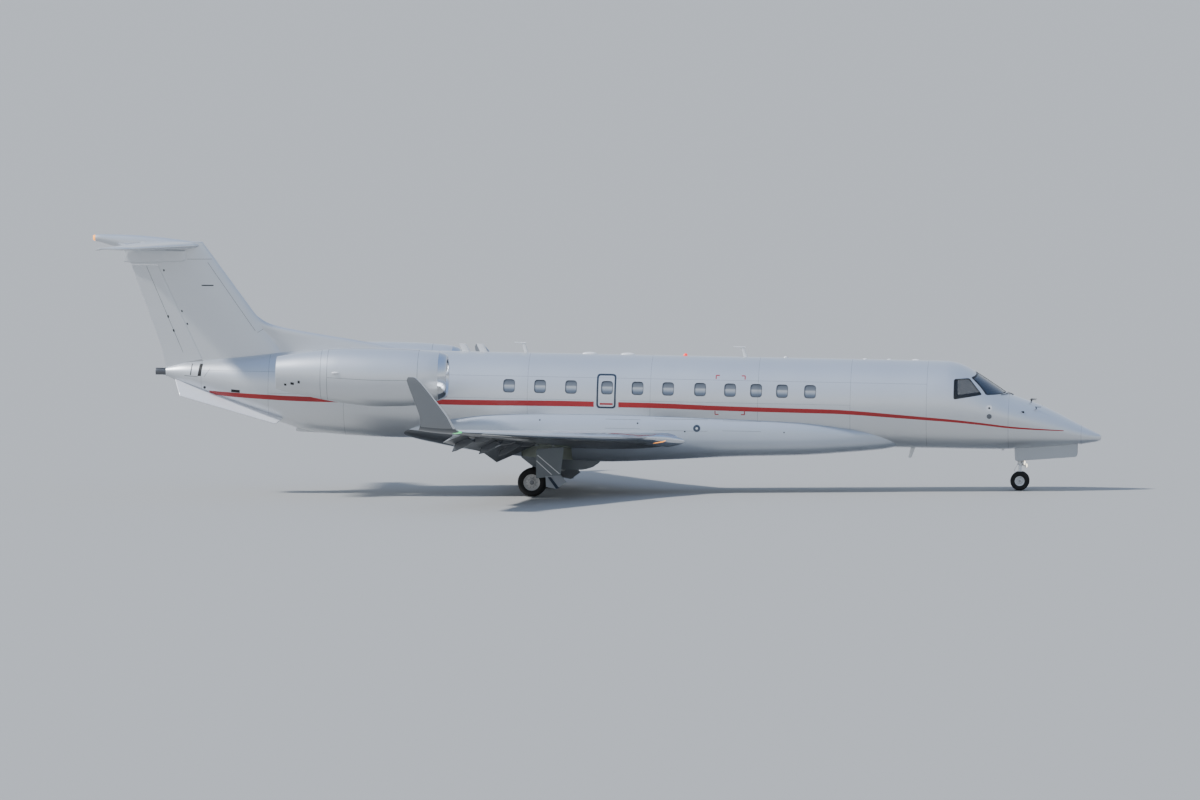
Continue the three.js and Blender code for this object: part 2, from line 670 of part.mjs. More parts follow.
// Rudder
const RUDDER_LOW = { fs: 23560, wl: 860 };
const RUDDER_HIGH = { fs: 24740, wl: 3235 };
const finBody = liftingBody(FIN).add(liftingBody(DORSAL));
const finHalf = (wl) => {
  const fs = THREE.MathUtils.mapLinear(wl, RUDDER_LOW.wl, RUDDER_HIGH.wl,
    RUDDER_LOW.fs, RUDDER_HIGH.fs);
  const root = onChord(FIN, wl, 0, 2);
  const end = onChord(FIN, wl, 1, 2);
  const step = (NOSE_X - fs - root.point.x) / (end.point.x - root.point.x);
  return onChord(FIN, wl, step, 2).half;
};
let rudder = splitSurface(finBody, at(RUDDER_LOW.fs, 0, RUDDER_LOW.wl),
  at(RUDDER_HIGH.fs, 0, RUDDER_HIGH.wl), finHalf(RUDDER_LOW.wl) - 2,
  finHalf(RUDDER_HIGH.wl) - 2, 1500, 400, [18, 18]);
const bullet = bulletBody(0).intersect(bulletReach).subtract(clearTail)
  .subtract(mirrored(clearTail));
const clearBullet = bulletBody(GAP);
rudder = pinAt(pinAt({ ...rudder, fixed: rudder.fixed.add(cradle) }, 'b', 14, 60, 60), 'a', 14);
const fin = rudder.fixed.subtract(clearTail).subtract(mirrored(clearTail))
  .subtract(clearBullet).subtract(clearHull);

// Ventral strakes, canted outwards: [fs, y, wl] of the four corners
const STRAKE = [[21150, 330, -560], [21510, 640, -830], [24040, 520, -150], [24215, 120, 270]];
const STRAKE_HALF = 14;
const strake = slab(STRAKE.map((corner) => at(...corner)), STRAKE_HALF).subtract(clearHull);

// Auxiliary power exhaust pipe
const APU = { to: 24735, wl: 462, radius: 92, wall: 7, floor: 60, taper: 4, sides: 24 };
const apuBore = APU.radius - APU.wall;
const apuPipe = bar(at(TAIL_END, 0, APU.wl), at(APU.to, 0, APU.wl), APU.radius,
  APU.radius - APU.taper, APU.sides)
  .subtract(bar(at(TAIL_END + APU.floor, 0, APU.wl), at(APU.to + 50, 0, APU.wl), apuBore, apuBore,
    APU.sides));

// Nacelle, port side: station, middle waterline, radius; outside from lip to nozzle, then the
// duct from nozzle to lip
const NACELLE_Y = 2100;
const NACELLE_POINTS = 24;
const NACELLE = [
  [16905, 575, 520], [16925, 575, 548], [16990, 572, 586], [17142, 562, 634],
  [17458, 530, 700], [18089, 515, 745], [18721, 508, 757], [19666, 535, 706],
  [20248, 552, 628], [20800, 566, 535], [21340, 570, 432], [21350, 570, 418],
  [20900, 568, 470], [20200, 555, 520], [18300, 560, 520], [17900, 560, 522],
  [17500, 562, 500], [17160, 570, 484], [16960, 575, 498],
];
function nacelleRings(rows, grow) {
  return rows.map(([fs, wl, radius]) => Array.from({ length: NACELLE_POINTS }, (_, k) => {
    const angle = (2 * Math.PI * k) / NACELLE_POINTS;
    return at(fs, NACELLE_Y + (radius + grow) * Math.sin(angle),
      wl + (radius + grow) * Math.cos(angle));
  }));
}
const nacelle = loft(nacelleRings(NACELLE, 0), true);
const DUCT_ROW = 11;             // where the duct's rows begin
const clearNacelle = loft(nacelleRings(NACELLE.slice(0, DUCT_ROW), GAP));

// Fan, with its blades inside the duct
const FAN = {
  fs: 17960, wl: 560, tip: 505, hub: 165, depth: 130, blades: 14, thick: 12, shaft: 40,
};
const BLADE_ANGLE = THREE.MathUtils.degToRad(40);
const forward = new THREE.Vector3(1, 0, 0);
const fanCentre = at(FAN.fs, NACELLE_Y, FAN.wl);
let fan = rotor([[0, -FAN.depth / 2], [FAN.hub, -FAN.depth / 2], [FAN.hub, FAN.depth / 2],
  [135, 150], [80, 240], [0, 298]], forward, fanCentre, FAN.blades);
const bladeRoot = FAN.hub - 30;
for (let k = 0; k < FAN.blades; k += 1) {
  const blade = new THREE.BoxGeometry(FAN.depth * 0.8, FAN.thick, FAN.tip - bladeRoot)
    .rotateZ(BLADE_ANGLE).translate(0, 0, (FAN.tip + bladeRoot) / 2)
    .rotateX((2 * Math.PI * (k + 0.5)) / FAN.blades)
    .translate(fanCentre.x, fanCentre.y, fanCentre.z);
  fan = fan.add(solidOf(blade));
}
const shaftTip = at(FAN.fs - 60, NACELLE_Y, FAN.wl);
fan = fan.subtract(shaftHole(at(FAN.fs + 200, NACELLE_Y, FAN.wl), shaftTip, FAN.shaft));

// Engine: one plain block behind the fan, its tail cone, and struts to the duct wall
const CORE = [
  [0, -1170], [60, -1150], [210, -760], [330, -640], [350, 400], [330, 1000], [190, 1300],
  [150, 1340], [0, 1340],
];
const coreMiddle = at(FAN.fs + 90 + 1340, NACELLE_Y, FAN.wl);
let engineCore = rotor(CORE, forward, coreMiddle, 24);
engineCore = engineCore.add(shaft(at(FAN.fs + 120, NACELLE_Y, FAN.wl),
  at(FAN.fs - 56, NACELLE_Y, FAN.wl), FAN.shaft));
for (let k = 0; k < 4; k += 1) {
  const angle = (Math.PI * k) / 2 + Math.PI / 4;
  const strut = new THREE.BoxGeometry(260, 26, 260).translate(0, 0, 400).rotateX(angle)
    .translate(NOSE_X - 19000, NACELLE_Y, FAN.wl);
  engineCore = engineCore.add(solidOf(strut));
}
engineCore = engineCore.intersect(loft(nacelleRings(NACELLE.slice(DUCT_ROW), -GAP)));

// Pylon: from the fuselage side to the nacelle
const PYLON = [
  [17850, 700, 500, 3100, 250, 0, 0],
  [17950, 1500, 520, 2950, 230, 0, 0],
  [18000, 1900, 540, 2900, 225, 0, 0],
];
const pylon = liftingBody(PYLON).subtract(clearHull).subtract(clearNacelle);

// Gear: ground points are [x, z]
const NOSE_TYRE = { radius: 246, half: 84, rim: 118, y: 165, shaft: 30 };
const MAIN_TYRE = { radius: 368, half: 118, rim: 205, y: 200, shaft: 42 };
const NOSE_AXLE = fromGround(11000, NOSE_TYRE.radius);
const MAIN_Y = 2050;
const sideways = new THREE.Vector3(0, 1, 0);
const TYRE_SIDES = 20;

// Two wheels on one turning shaft, at the origin. The tread's flats lie at the tyre's radius.
const FLAT_ANGLE = Math.PI / TYRE_SIDES;
function wheelPair(tyre) {
  const { half, rim } = tyre;
  const radius = tyre.radius / Math.cos(FLAT_ANGLE);
  const profile = [
    [0, -half * 0.78], [rim * 0.42, -half * 0.75], [rim * 0.75, -half * 0.4],
    [rim, -half * 0.78], [radius * 0.84, -half], [radius * 0.95, -half * 0.84],
    [radius, -half * 0.45], [radius, half * 0.45], [radius * 0.95, half * 0.84],
    [radius * 0.84, half], [rim, half * 0.78], [rim * 0.75, half * 0.4],
    [rim * 0.42, half * 0.75], [0, half * 0.78],
  ];
  const wheels = [-1, 1].map((side) => rotor(profile, sideways,
    new THREE.Vector3(0, side * tyre.y, 0), TYRE_SIDES));
  return union(...wheels, shaft(new THREE.Vector3(0, -tyre.y, 0),
    new THREE.Vector3(0, tyre.y, 0), tyre.shaft));
}
const noseWheels = wheelPair(NOSE_TYRE);
const mainWheels = wheelPair(MAIN_TYRE);

// Nose leg: the outer cylinder is fixed in the bay, the steering leg turns in it
const LEG = { radius: 62, inner: 44, bottom: -1480, collar: 80 };
const legFs = NOSE_AXLE.fs;
const legLine = (wl) => at(legFs, 0, wl);
const noseLeg = union(
  shaft(legLine(BAY.roof - GAP), legLine(LEG.bottom), LEG.radius),
  bar(at(legFs - 620, 0, BAY.roof - 42), legLine(-1180), 26, 26, 12)
    .intersect(box(at(0, -400, BAY.roof - GAP), at(4000, 400, -2000))),
  box(at(legFs - 60, -150, BAY.roof - 90), at(legFs + 60, 150, BAY.roof - GAP)))
  .subtract(shaftHole(legLine(LEG.bottom + 260), legLine(LEG.bottom - 50), LEG.inner));
const forkHalf = NOSE_TYRE.y - NOSE_TYRE.half - 12;
const noseSteering = union(
  shaft(legLine(LEG.bottom + 250), legLine(NOSE_AXLE.wl - 20), LEG.inner),
  bar(legLine(LEG.bottom - 8), legLine(LEG.bottom - 60), LEG.collar),
  bar(at(legFs, -forkHalf, NOSE_AXLE.wl), at(legFs, forkHalf, NOSE_AXLE.wl), 52),
  platePrism([[legFs + 50, LEG.bottom - 20], [legFs + 150, -1690], [legFs + 30, NOSE_AXLE.wl + 20],
    [legFs + 30, NOSE_AXLE.wl + 60], [legFs + 110, -1690], [legFs + 50, LEG.bottom - 55]], -25, 25))
  .subtract(shaftHole(at(legFs, -200, NOSE_AXLE.wl), at(legFs, 200, NOSE_AXLE.wl),
    NOSE_TYRE.shaft));

// Nose gear doors, hanging open just inside the bay's edges on two hinge blocks each
const NOSE_DOOR = { outer: BAY.half - 8, thick: 20 };
const noseDoorOutline = [[610, -930], [620, -1285], [2225, -1430], [2255, -1040]];
const noseDoor = [[760, -900], [1850, -1010]].reduce(
  (door, [fs, wl]) => door.add(box(at(fs, NOSE_DOOR.outer - NOSE_DOOR.thick, wl),
    at(fs + 140, BAY.half - GAP, wl - 70))),
  platePrism(noseDoorOutline, NOSE_DOOR.outer - NOSE_DOOR.thick, NOSE_DOOR.outer));

// Main leg, trailing arm and shock strut, port side
const PIVOT = [-1080, 520];
const ARM = { half: 56, eye: 80, pin: 40 };
const CHEEK = { inner: ARM.half + GAP, outer: 90 };
const gearPoint = ([x, z], y = MAIN_Y) => at(fromGround(x, z).fs, y, fromGround(x, z).wl);
const wingUnder = wingBody.translate([0, 0, -GAP]);
const crossBar = (point, half, radius) => bar(gearPoint(point, MAIN_Y - half),
  gearPoint(point, MAIN_Y + half), radius);
function groundPlate(outline, yFrom, yTo) {
  return platePrism(outline.map((point) => {
    const { fs, wl } = fromGround(...point);
    return [fs, wl];
  }), yFrom, yTo);
}
const cheekOutline = [[-1160, 720], [-1165, 520], [-1125, 448], [-1035, 448], [-1000, 520],
  [-1000, 720]];
const mainLeg = union(
  bar(gearPoint([-1075, 1500]), gearPoint([-1080, 660]), 68),
  groundPlate([[-1160, 720], [-1160, 640], [-1000, 640], [-1000, 720]],
    MAIN_Y - CHEEK.outer, MAIN_Y + CHEEK.outer),
  groundPlate(cheekOutline, MAIN_Y + CHEEK.inner, MAIN_Y + CHEEK.outer),
  groundPlate(cheekOutline, MAIN_Y - CHEEK.outer, MAIN_Y - CHEEK.inner),
  crossBar(PIVOT, CHEEK.outer, ARM.pin),
  bar(gearPoint([-1040, 1460], MAIN_Y - 560), gearPoint([-1078, 900]), 34, 34, 12))
  .subtract(wingUnder).subtract(clearBelly);
const AXLE = [-1558, MAIN_TYRE.radius];
const trailingArm = union(
  bar(gearPoint(PIVOT), gearPoint(AXLE), 50, 54),
  crossBar(PIVOT, ARM.half, ARM.eye),
  crossBar(AXLE, ARM.half, 72),
  bar(gearPoint([-1395, 430]), gearPoint([-1385, 545]), 48))
  .subtract(shaftHole(gearPoint(AXLE, MAIN_Y - 200), gearPoint(AXLE, MAIN_Y + 200),
    MAIN_TYRE.shaft))
  .subtract(pinHole(gearPoint(PIVOT, MAIN_Y - 200), gearPoint(PIVOT, MAIN_Y + 200), ARM.pin));
const shockStrut = union(
  bar(gearPoint([-1384, 500]), gearPoint([-1290, 860]), 36),
  bar(gearPoint([-1300, 820]), gearPoint([-1215, 1140]), 54),
  bar(gearPoint([-1225, 1120]), gearPoint([-1080, 1150]), 40))
  .subtract(trailingArm).subtract(trailingArm.translate([0, 0, GAP]))
  .subtract(trailingArm.translate([GAP, 0, 0])).subtract(mainLeg.translate([-GAP, 0, 0]));

// Main leg door outboard of the tyres, with the lower flap tilted outwards
const LEG_DOOR = { y: 2440, thick: 22 };
const legDoor = union(
  groundPlate([[-1420, 1240], [-1440, 480], [-800, 545], [-705, 1290]],
    LEG_DOOR.y, LEG_DOOR.y + LEG_DOOR.thick),
  loft([0, 1].map((face) => [[-1190, 540, 0], [-790, 560, 0], [-640, 390, 60], [-900, 205, 110],
    [-1170, 262, 90]].map(([x, z, out]) => gearPoint([x, z],
    LEG_DOOR.y + out + face * LEG_DOOR.thick)))),
  groundPlate([[-1110, 1010], [-1110, 950], [-1040, 950], [-1040, 1010]], MAIN_Y, LEG_DOOR.y + 5))
  .subtract(mainLeg.translate([0, GAP, 0])).subtract(mainLeg).subtract(wingUnder);

// Wheel well doors: boat-shaped plates hanging from the belly near its middle
const WELL_DOOR = { y: 470, thick: 24 };
const wellDoor = groundPlate([[-1990, 1100], [-1990, 950], [-1640, 670], [-780, 598], [-340, 600],
  [-60, 680], [110, 860], [110, 1100]], WELL_DOOR.y, WELL_DOOR.y + WELL_DOOR.thick)
  .subtract(clearBelly).subtract(clearHull);

// The model: one group on the ground frame, one that carries the airframe at its pitch
const jet = new THREE.Group();
const airframe = new THREE.Group();
airframe.position.set(CENTRE_SHIFT, 0, AXIS_HEIGHT);
airframe.rotation.y = PITCH;
jet.add(airframe);

function add(name, solid, material) {
  const mesh = new THREE.Mesh(geometryOf(solid), material);
  mesh.name = name;
  airframe.add(mesh);
  return mesh;
}

// A piece that turns about a line: its mesh sits on the line, turned by an angle in degrees
function addHinged(name, solid, material, a, b, angle = 0) {
  const mesh = add(name, solid, material);
  mesh.geometry.translate(-a.x, -a.y, -a.z);
  mesh.position.copy(a);
  const axis = new THREE.Vector3().subVectors(b, a).normalize();
  mesh.quaternion.setFromAxisAngle(axis, THREE.MathUtils.degToRad(angle));
  mesh.userData.hinge = { point: a.clone(), axis };
  return mesh;
}

const SIDES = [['left', 1], ['right', -1]];
const onSide = (solid, side) => (side > 0 ? solid : mirrored(solid));
const flip = (p, side) => new THREE.Vector3(p.x, p.y * side, p.z);

add('radome', radome, SILVER);
add('forward_fuselage', forwardFuselage, SILVER);
add('cabin_fuselage', cabinFuselage, SILVER);
add('rear_fuselage', rearFuselage, SILVER);
add('belly_fairing', bellyFairing, SILVER);
add('apu_exhaust', apuPipe, DARK_STEEL);
add('cockpit_floor', cockpitFloor, LINING);
add('instrument_panel', instrumentPanel, LINING);
addHinged('entry_door', entryDoor, SILVER, at(DOOR.from, doorAxisY, DOOR_AXIS_WL),
  at(DOOR.to, doorAxisY, DOOR_AXIS_WL));
add('fin', fin, SILVER);
addHinged('rudder', rudder.moving, SILVER, rudder.a, rudder.b);
add('tailplane', tailplane, SILVER);
add('bullet_fairing', bullet, SILVER);
add('nose_leg', noseLeg, GEAR_WHITE);
addHinged('nose_steering_leg', noseSteering, GEAR_WHITE, legLine(NOSE_AXLE.wl),
  legLine(BAY.roof));

// A pair of wheels, turning on its shaft, with a flat of the tread on the ground
function addWheels(name, solid, centre) {
  const mesh = new THREE.Mesh(geometryOf(solid), RUBBER);
  mesh.name = name;
  mesh.position.copy(centre);
  mesh.rotation.y = FLAT_ANGLE - PITCH;
  mesh.userData.hinge = { point: centre.clone(), axis: sideways.clone() };
  airframe.add(mesh);
}
addWheels('nose_wheels', noseWheels, legLine(NOSE_AXLE.wl));

for (const [word, side] of SIDES) {
  const name = (base) => `${base}_${word}`;
  const place = (base, solid, material) => add(name(base), onSide(solid, side), material);
  const hinge = (base, solid, material, a, b, angle) => addHinged(name(base),
    onSide(solid, side), material, flip(a, side), flip(b, side), angle * side);
  place('windscreen', windscreen, GLASS);
  place('cockpit_window', sideWindow, GLASS);
  place('pilot_seat', pilotSeat(SEAT_Y), LEATHER);
  place('wing', wing, SILVER);
  place('winglet', winglet, GREY);
  hinge('inboard_flap', inboardFlap.moving, SILVER, inboardFlap.a, inboardFlap.b, -FLAP_DOWN);
  hinge('outboard_flap', outboardFlap.moving, SILVER, outboardFlap.a, outboardFlap.b, -FLAP_DOWN);
  hinge('aileron', aileron.moving, SILVER, aileron.a, aileron.b, 0);
  hinge('spoiler', spoiler, SILVER, spoilerHinge[0], spoilerHinge[1], 0);
  hinge('elevator', elevator.moving, SILVER, elevator.a, elevator.b, -ELEVATOR_DROOP);
  place('ventral_strake', strake, PALE);
  place('nacelle', nacelle, SILVER);
  place('pylon', pylon, SILVER);
  place('engine_core', engineCore, DARK_STEEL);
  hinge('fan', fan, TITANIUM, fanCentre, fanCentre.clone().add(forward), 0);
  place('nose_gear_door', noseDoor, GREY);
  place('main_leg', mainLeg, GEAR_WHITE);
  place('trailing_arm', trailingArm, GEAR_WHITE);
  place('shock_strut', shockStrut, POLISHED);
  place('main_leg_door', legDoor, GREY);
  place('wheel_well_door', wellDoor, GREY);
  addWheels(name('main_wheels'), mainWheels, flip(gearPoint(AXLE), side));
}

export default jet;
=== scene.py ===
# The looks of a business jet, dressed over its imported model.
# Metres, on the model's axes: +X to the nose, +Y to port, +Z up. Tables are in millimetres, in the
# airframe's own stations: fs aft of the nose tip, y to port and wl above the axis of the fuselage
# tube. The airframe stands on its gear 1.4 degrees nose down.
from contextlib import contextmanager
from math import cos, exp, pi, radians, sin, sqrt

import bpy
from mathutils import Matrix, Vector


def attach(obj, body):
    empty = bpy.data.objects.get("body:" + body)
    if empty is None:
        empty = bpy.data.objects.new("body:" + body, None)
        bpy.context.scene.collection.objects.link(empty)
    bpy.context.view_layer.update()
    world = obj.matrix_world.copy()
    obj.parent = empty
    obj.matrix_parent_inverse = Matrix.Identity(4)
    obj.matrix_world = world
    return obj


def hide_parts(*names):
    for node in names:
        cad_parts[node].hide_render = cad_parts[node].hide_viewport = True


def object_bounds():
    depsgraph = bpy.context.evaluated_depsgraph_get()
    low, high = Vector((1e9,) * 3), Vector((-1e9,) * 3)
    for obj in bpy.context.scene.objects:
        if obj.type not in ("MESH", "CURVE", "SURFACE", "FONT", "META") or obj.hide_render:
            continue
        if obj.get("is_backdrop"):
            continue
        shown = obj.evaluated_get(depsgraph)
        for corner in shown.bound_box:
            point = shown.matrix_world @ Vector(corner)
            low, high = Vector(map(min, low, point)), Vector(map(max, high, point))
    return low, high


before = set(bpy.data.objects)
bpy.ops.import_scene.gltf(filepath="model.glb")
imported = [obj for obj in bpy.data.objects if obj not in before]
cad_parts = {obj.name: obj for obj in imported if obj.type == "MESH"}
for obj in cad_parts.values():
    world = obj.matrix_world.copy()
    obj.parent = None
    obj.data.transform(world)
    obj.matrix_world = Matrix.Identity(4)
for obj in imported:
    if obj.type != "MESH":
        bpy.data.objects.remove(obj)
model_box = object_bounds()

PITCH = radians(1.4)
NOSE_X = 13148
AXIS_HEIGHT = 2461
SHIFT_X = 29.06
SIDES = (("left", 1), ("right", -1))


def at(fs, y, wl):
    """A point of the airframe, in metres."""
    along = NOSE_X - fs
    return Vector((along * cos(PITCH) + wl * sin(PITCH) + SHIFT_X, y,
                   AXIS_HEIGHT - along * sin(PITCH) + wl * cos(PITCH))) / 1000


def station(point):
    """The stations fs, y and wl of a point in metres: the inverse of at."""
    x, z = point.x * 1000 - SHIFT_X, point.z * 1000 - AXIS_HEIGHT
    return (NOSE_X - x * cos(PITCH) + z * sin(PITCH), point.y * 1000,
            x * sin(PITCH) + z * cos(PITCH))


def ground(x, y, z):
    """A point measured on the ground, in millimetres, with x as before the shift."""
    return Vector((x + SHIFT_X, y, z)) / 1000


# Small tools

def circle(count):
    """Angles at even steps once round."""
    return [2 * pi * k / count for k in range(count)]


def alone(piece):
    bpy.ops.object.select_all(action="DESELECT")
    piece.select_set(True)
    bpy.context.view_layer.objects.active = piece


@contextmanager
def editing(piece, pick=None):
    """Edit mode with all of the piece selected, or only the faces that pick chooses."""
    alone(piece)
    if pick:
        for part in (piece.data.vertices, piece.data.edges):
            part.foreach_set("select", [False] * len(part))
        for face in piece.data.polygons:
            face.select = pick(face)
    bpy.ops.object.mode_set(mode="EDIT")
    bpy.ops.mesh.select_mode(type="FACE" if pick else "VERT")
    if not pick:
        bpy.ops.mesh.select_all(action="SELECT")
    yield
    bpy.ops.object.mode_set(mode="OBJECT")


def shape(piece, kind, **settings):
    """Adds a modifier and applies it."""
    step = piece.modifiers.new(kind.lower(), kind)
    for key, value in settings.items():
        setattr(step, key, value)
    alone(piece)
    bpy.ops.object.modifier_apply(modifier=step.name)
    return piece


def bevelled(piece, width, segments=2, limit=30):
    """Rounds the edges sharper than a limit in degrees, by a width in metres."""
    return shape(piece, "BEVEL", width=width, segments=segments, limit_method="ANGLE",
                 angle_limit=radians(limit))


def smooth(piece, angle=35):
    alone(piece)
    bpy.ops.object.shade_smooth_by_angle(angle=radians(angle))
    return piece


def twin(piece, name):
    copy = piece.copy()
    copy.data = piece.data.copy()
    copy.name = name
    bpy.context.scene.collection.objects.link(copy)
    return copy


def mirrored(piece, name):
    copy = twin(piece, name)
    copy.data.transform(Matrix.Diagonal((1, -1, 1, 1)))
    copy.data.flip_normals()
    return copy


def on_side(piece, side, name):
    """A copy of a port piece for this side, mirrored for starboard."""
    return mirrored(piece, name) if side < 0 else twin(piece, name)


def drop(*pieces):
    for piece in pieces:
        bpy.data.objects.remove(piece)


def join(name, *pieces):
    bpy.ops.object.select_all(action="DESELECT")
    for piece in pieces:
        piece.select_set(True)
    bpy.context.view_layer.objects.active = pieces[0]
    if len(pieces) > 1:
        bpy.ops.object.join()
    pieces[0].name = name
    return pieces[0]


def carve(piece, tool, how="DIFFERENCE", keep=False):
    shape(piece, "BOOLEAN", object=tool, operation=how, solver="EXACT")
    if not keep:
        drop(tool)
    return piece


def skin(name, rings, capped=True, angle=35):
    """A grid laid over rings of points, closed round each ring and capped at both ends."""
    along, around = len(rings) - 1, len(rings[0])
    bpy.ops.mesh.primitive_grid_add(x_subdivisions=along, y_subdivisions=around, size=1)
    piece = bpy.context.object
    piece.name = name
    for v in piece.data.vertices:
        i, k = round((v.co.x + 0.5) * along), round((v.co.y + 0.5) * around)
        v.co = rings[i][k % around]
    with editing(piece):
        bpy.ops.mesh.remove_doubles(threshold=2e-5)
        if capped:
            bpy.ops.mesh.select_all(action="DESELECT")
            bpy.ops.mesh.select_non_manifold()
            bpy.ops.mesh.fill_holes(sides=0)
        bpy.ops.mesh.select_all(action="SELECT")
        bpy.ops.mesh.normals_make_consistent(inside=False)
    return smooth(piece, angle)


def bar(name, start, end, radius, tip=None, sides=24, bevel=0.0):
    """A round bar or cone between two points, in metres."""
    start, end = Vector(start), Vector(end)
    bpy.ops.mesh.primitive_cone_add(vertices=sides, radius1=radius,
                                    radius2=radius if tip is None else tip,
                                    depth=(end - start).length)
    piece = bpy.context.object
    piece.name = name
    turn = Vector((0, 0, 1)).rotation_difference(end - start).to_matrix().to_4x4()
    piece.data.transform(Matrix.Translation((start + end) / 2) @ turn)
    if bevel:
        bevelled(piece, bevel)
    return smooth(piece)


def block(name, fs, y, wl, bevel=0.0):
    """A box between pairs of stations, sides and waterlines, in millimetres."""
    bpy.ops.mesh.primitive_cube_add(size=2)
    piece = bpy.context.object
    piece.name = name
    for v in piece.data.vertices:
        v.co = at(fs[v.co.x > 0], y[v.co.y > 0], wl[v.co.z > 0])
    with editing(piece):
        bpy.ops.mesh.normals_make_consistent(inside=False)
    if bevel:
        bevelled(piece, bevel / 1000)
    return piece


def rounded(corners, radius, steps=4):
    """An outline of [a, b] corners with each corner rounded."""
    outline, count = [], len(corners)
    for k in range(count):
        before, here, after = (Vector(corners[(k + j) % count]) for j in (-1, 0, 1))
        into, out = (before - here), (after - here)
        reach = min(radius, 0.45 * into.length, 0.45 * out.length)
        p, q = here + into.normalized() * reach, here + out.normalized() * reach
        for i in range(steps + 1):
            t = i / steps
            outline.append(p * (1 - t) ** 2 + here * 2 * t * (1 - t) + q * t * t)
    return outline


def plate(name, outline, y, bevel=0.0):
    """A flat plate of [fs, wl] points between two values of y."""
    piece = skin(name, [[at(p[0], side, p[1]) for p in outline] for side in y])
    if bevel:
        bevelled(piece, bevel / 1000)
        smooth(piece)
    return piece


def tube(name, route, radius):
    """A bent tube or hose along a smooth line through points in metres."""
    bpy.ops.curve.primitive_bezier_curve_add()
    line = bpy.context.object
    points = line.data.splines[0].bezier_points
    points.add(len(route) - 2)
    for point, spot in zip(points, route):
        point.co = spot
        point.handle_left_type = point.handle_right_type = "AUTO"
    line.data.bevel_depth, line.data.bevel_resolution, line.data.resolution_u = radius, 3, 10
    line.data.use_fill_caps = True
    alone(line)
    bpy.ops.object.convert(target="MESH")
    piece = bpy.context.object
    piece.name = name
    return smooth(piece, 60)


def paint(piece, material, pick):
    """A second finish on the faces that pick chooses."""
    piece.data.materials.append(material)
    for face in piece.data.polygons:
        if pick(face):
            face.material_index = len(piece.data.materials) - 1
    return piece


def window_outline(fs, wl, width, height, radius, steps=5):
    """A rounded rectangle about a station and waterline."""
    w, h = width / 2, height / 2
    return rounded([(fs - w, wl - h), (fs + w, wl - h), (fs + w, wl + h), (fs - w, wl + h)],
                   radius, steps)


def round_loop(fs, wl, radius, count=20):
    """A circle of points about a station and waterline."""
    return [(fs + radius * cos(t), wl + radius * sin(t)) for t in circle(count)]


def dense(loop, count=8):
    """The same outline with more points on each side, so that it can follow a curve."""
    longest = max((Vector(b) - Vector(a)).length for a, b in zip(loop, loop[1:] + loop[:1]))
    points = []
    for a, b in zip(loop, loop[1:] + loop[:1]):
        a, b = Vector(a), Vector(b)
        parts = count if (b - a).length > 0.3 * longest else 1
        points += [a + (b - a) * i / parts for i in range(parts)]
    return points


def curve(rows, x):
    """All columns of a table at x, on a smooth line through its rows that never overshoots."""
    if x <= rows[0][0]:
        return list(rows[0])
    if x >= rows[-1][0]:
        return list(rows[-1])
    k = max(i for i, row in enumerate(rows) if row[0] <= x)
    span = rows[k + 1][0] - rows[k][0]
    t = (x - rows[k][0]) / span

    def rate(i, column):
        if i in (0, len(rows) - 1):
            j = min(i, len(rows) - 2)
            return (rows[j + 1][column] - rows[j][column]) / (rows[j + 1][0] - rows[j][0])
        fore = (rows[i][column] - rows[i - 1][column]) / (rows[i][0] - rows[i - 1][0])
        aft = (rows[i + 1][column] - rows[i][column]) / (rows[i + 1][0] - rows[i][0])
        return 0 if fore * aft <= 0 else 2 * fore * aft / (fore + aft)

    values = [x]
    for column in range(1, len(rows[0])):
        a, b = rows[k][column], rows[k + 1][column]
        values.append(a * (2 * t ** 3 - 3 * t ** 2 + 1) + b * (3 * t ** 2 - 2 * t ** 3)
                      + rate(k, column) * span * (t ** 3 - 2 * t ** 2 + t)
                      + rate(k + 1, column) * span * (t ** 3 - t ** 2))
    return values


def steps_between(rows, low, high, fine):
    """Stations from low to high: the table's own, with fine steps between neighbours."""
    inside = [row[0] for row in rows if low < row[0] < high]
    marks = [low, *inside, high]
    return [a + (b - a) * i / fine for a, b in zip(marks, marks[1:]) for i in range(fine)] + [high]


# Finishes

def tint(code, alpha=1.0):
    """A linear colour from an sRGB hex code."""
    parts = [int(code[i:i + 2], 16) / 255 for i in (0, 2, 4)]
    return tuple(c / 12.92 if c < 0.04045 else ((c + 0.055) / 1.055) ** 2.4
                 for c in parts) + (alpha,)


def add_node(tree, kind, links=None, **settings):
    """Adds a shader node, sets its settings or sockets, and links its inputs."""
    made = tree.nodes.new(kind)
    for key, value in settings.items():
        if hasattr(made, key):
            setattr(made, key, value)
        else:
            made.inputs[key.replace("_", " ")].default_value = value
    for socket, source in (links or {}).items():
        tree.links.new(source, made.inputs[socket])
    return made


def finish(name, **sockets):
    """A new material whose shader has these values on its own sockets."""
    material = bpy.data.materials.new(name)
    material.use_nodes = True
    shader = material.node_tree.nodes["Principled BSDF"]
    for key, value in sockets.items():
        shader.inputs[key.replace("_", " ")].default_value = value
    return material, material.node_tree, shader


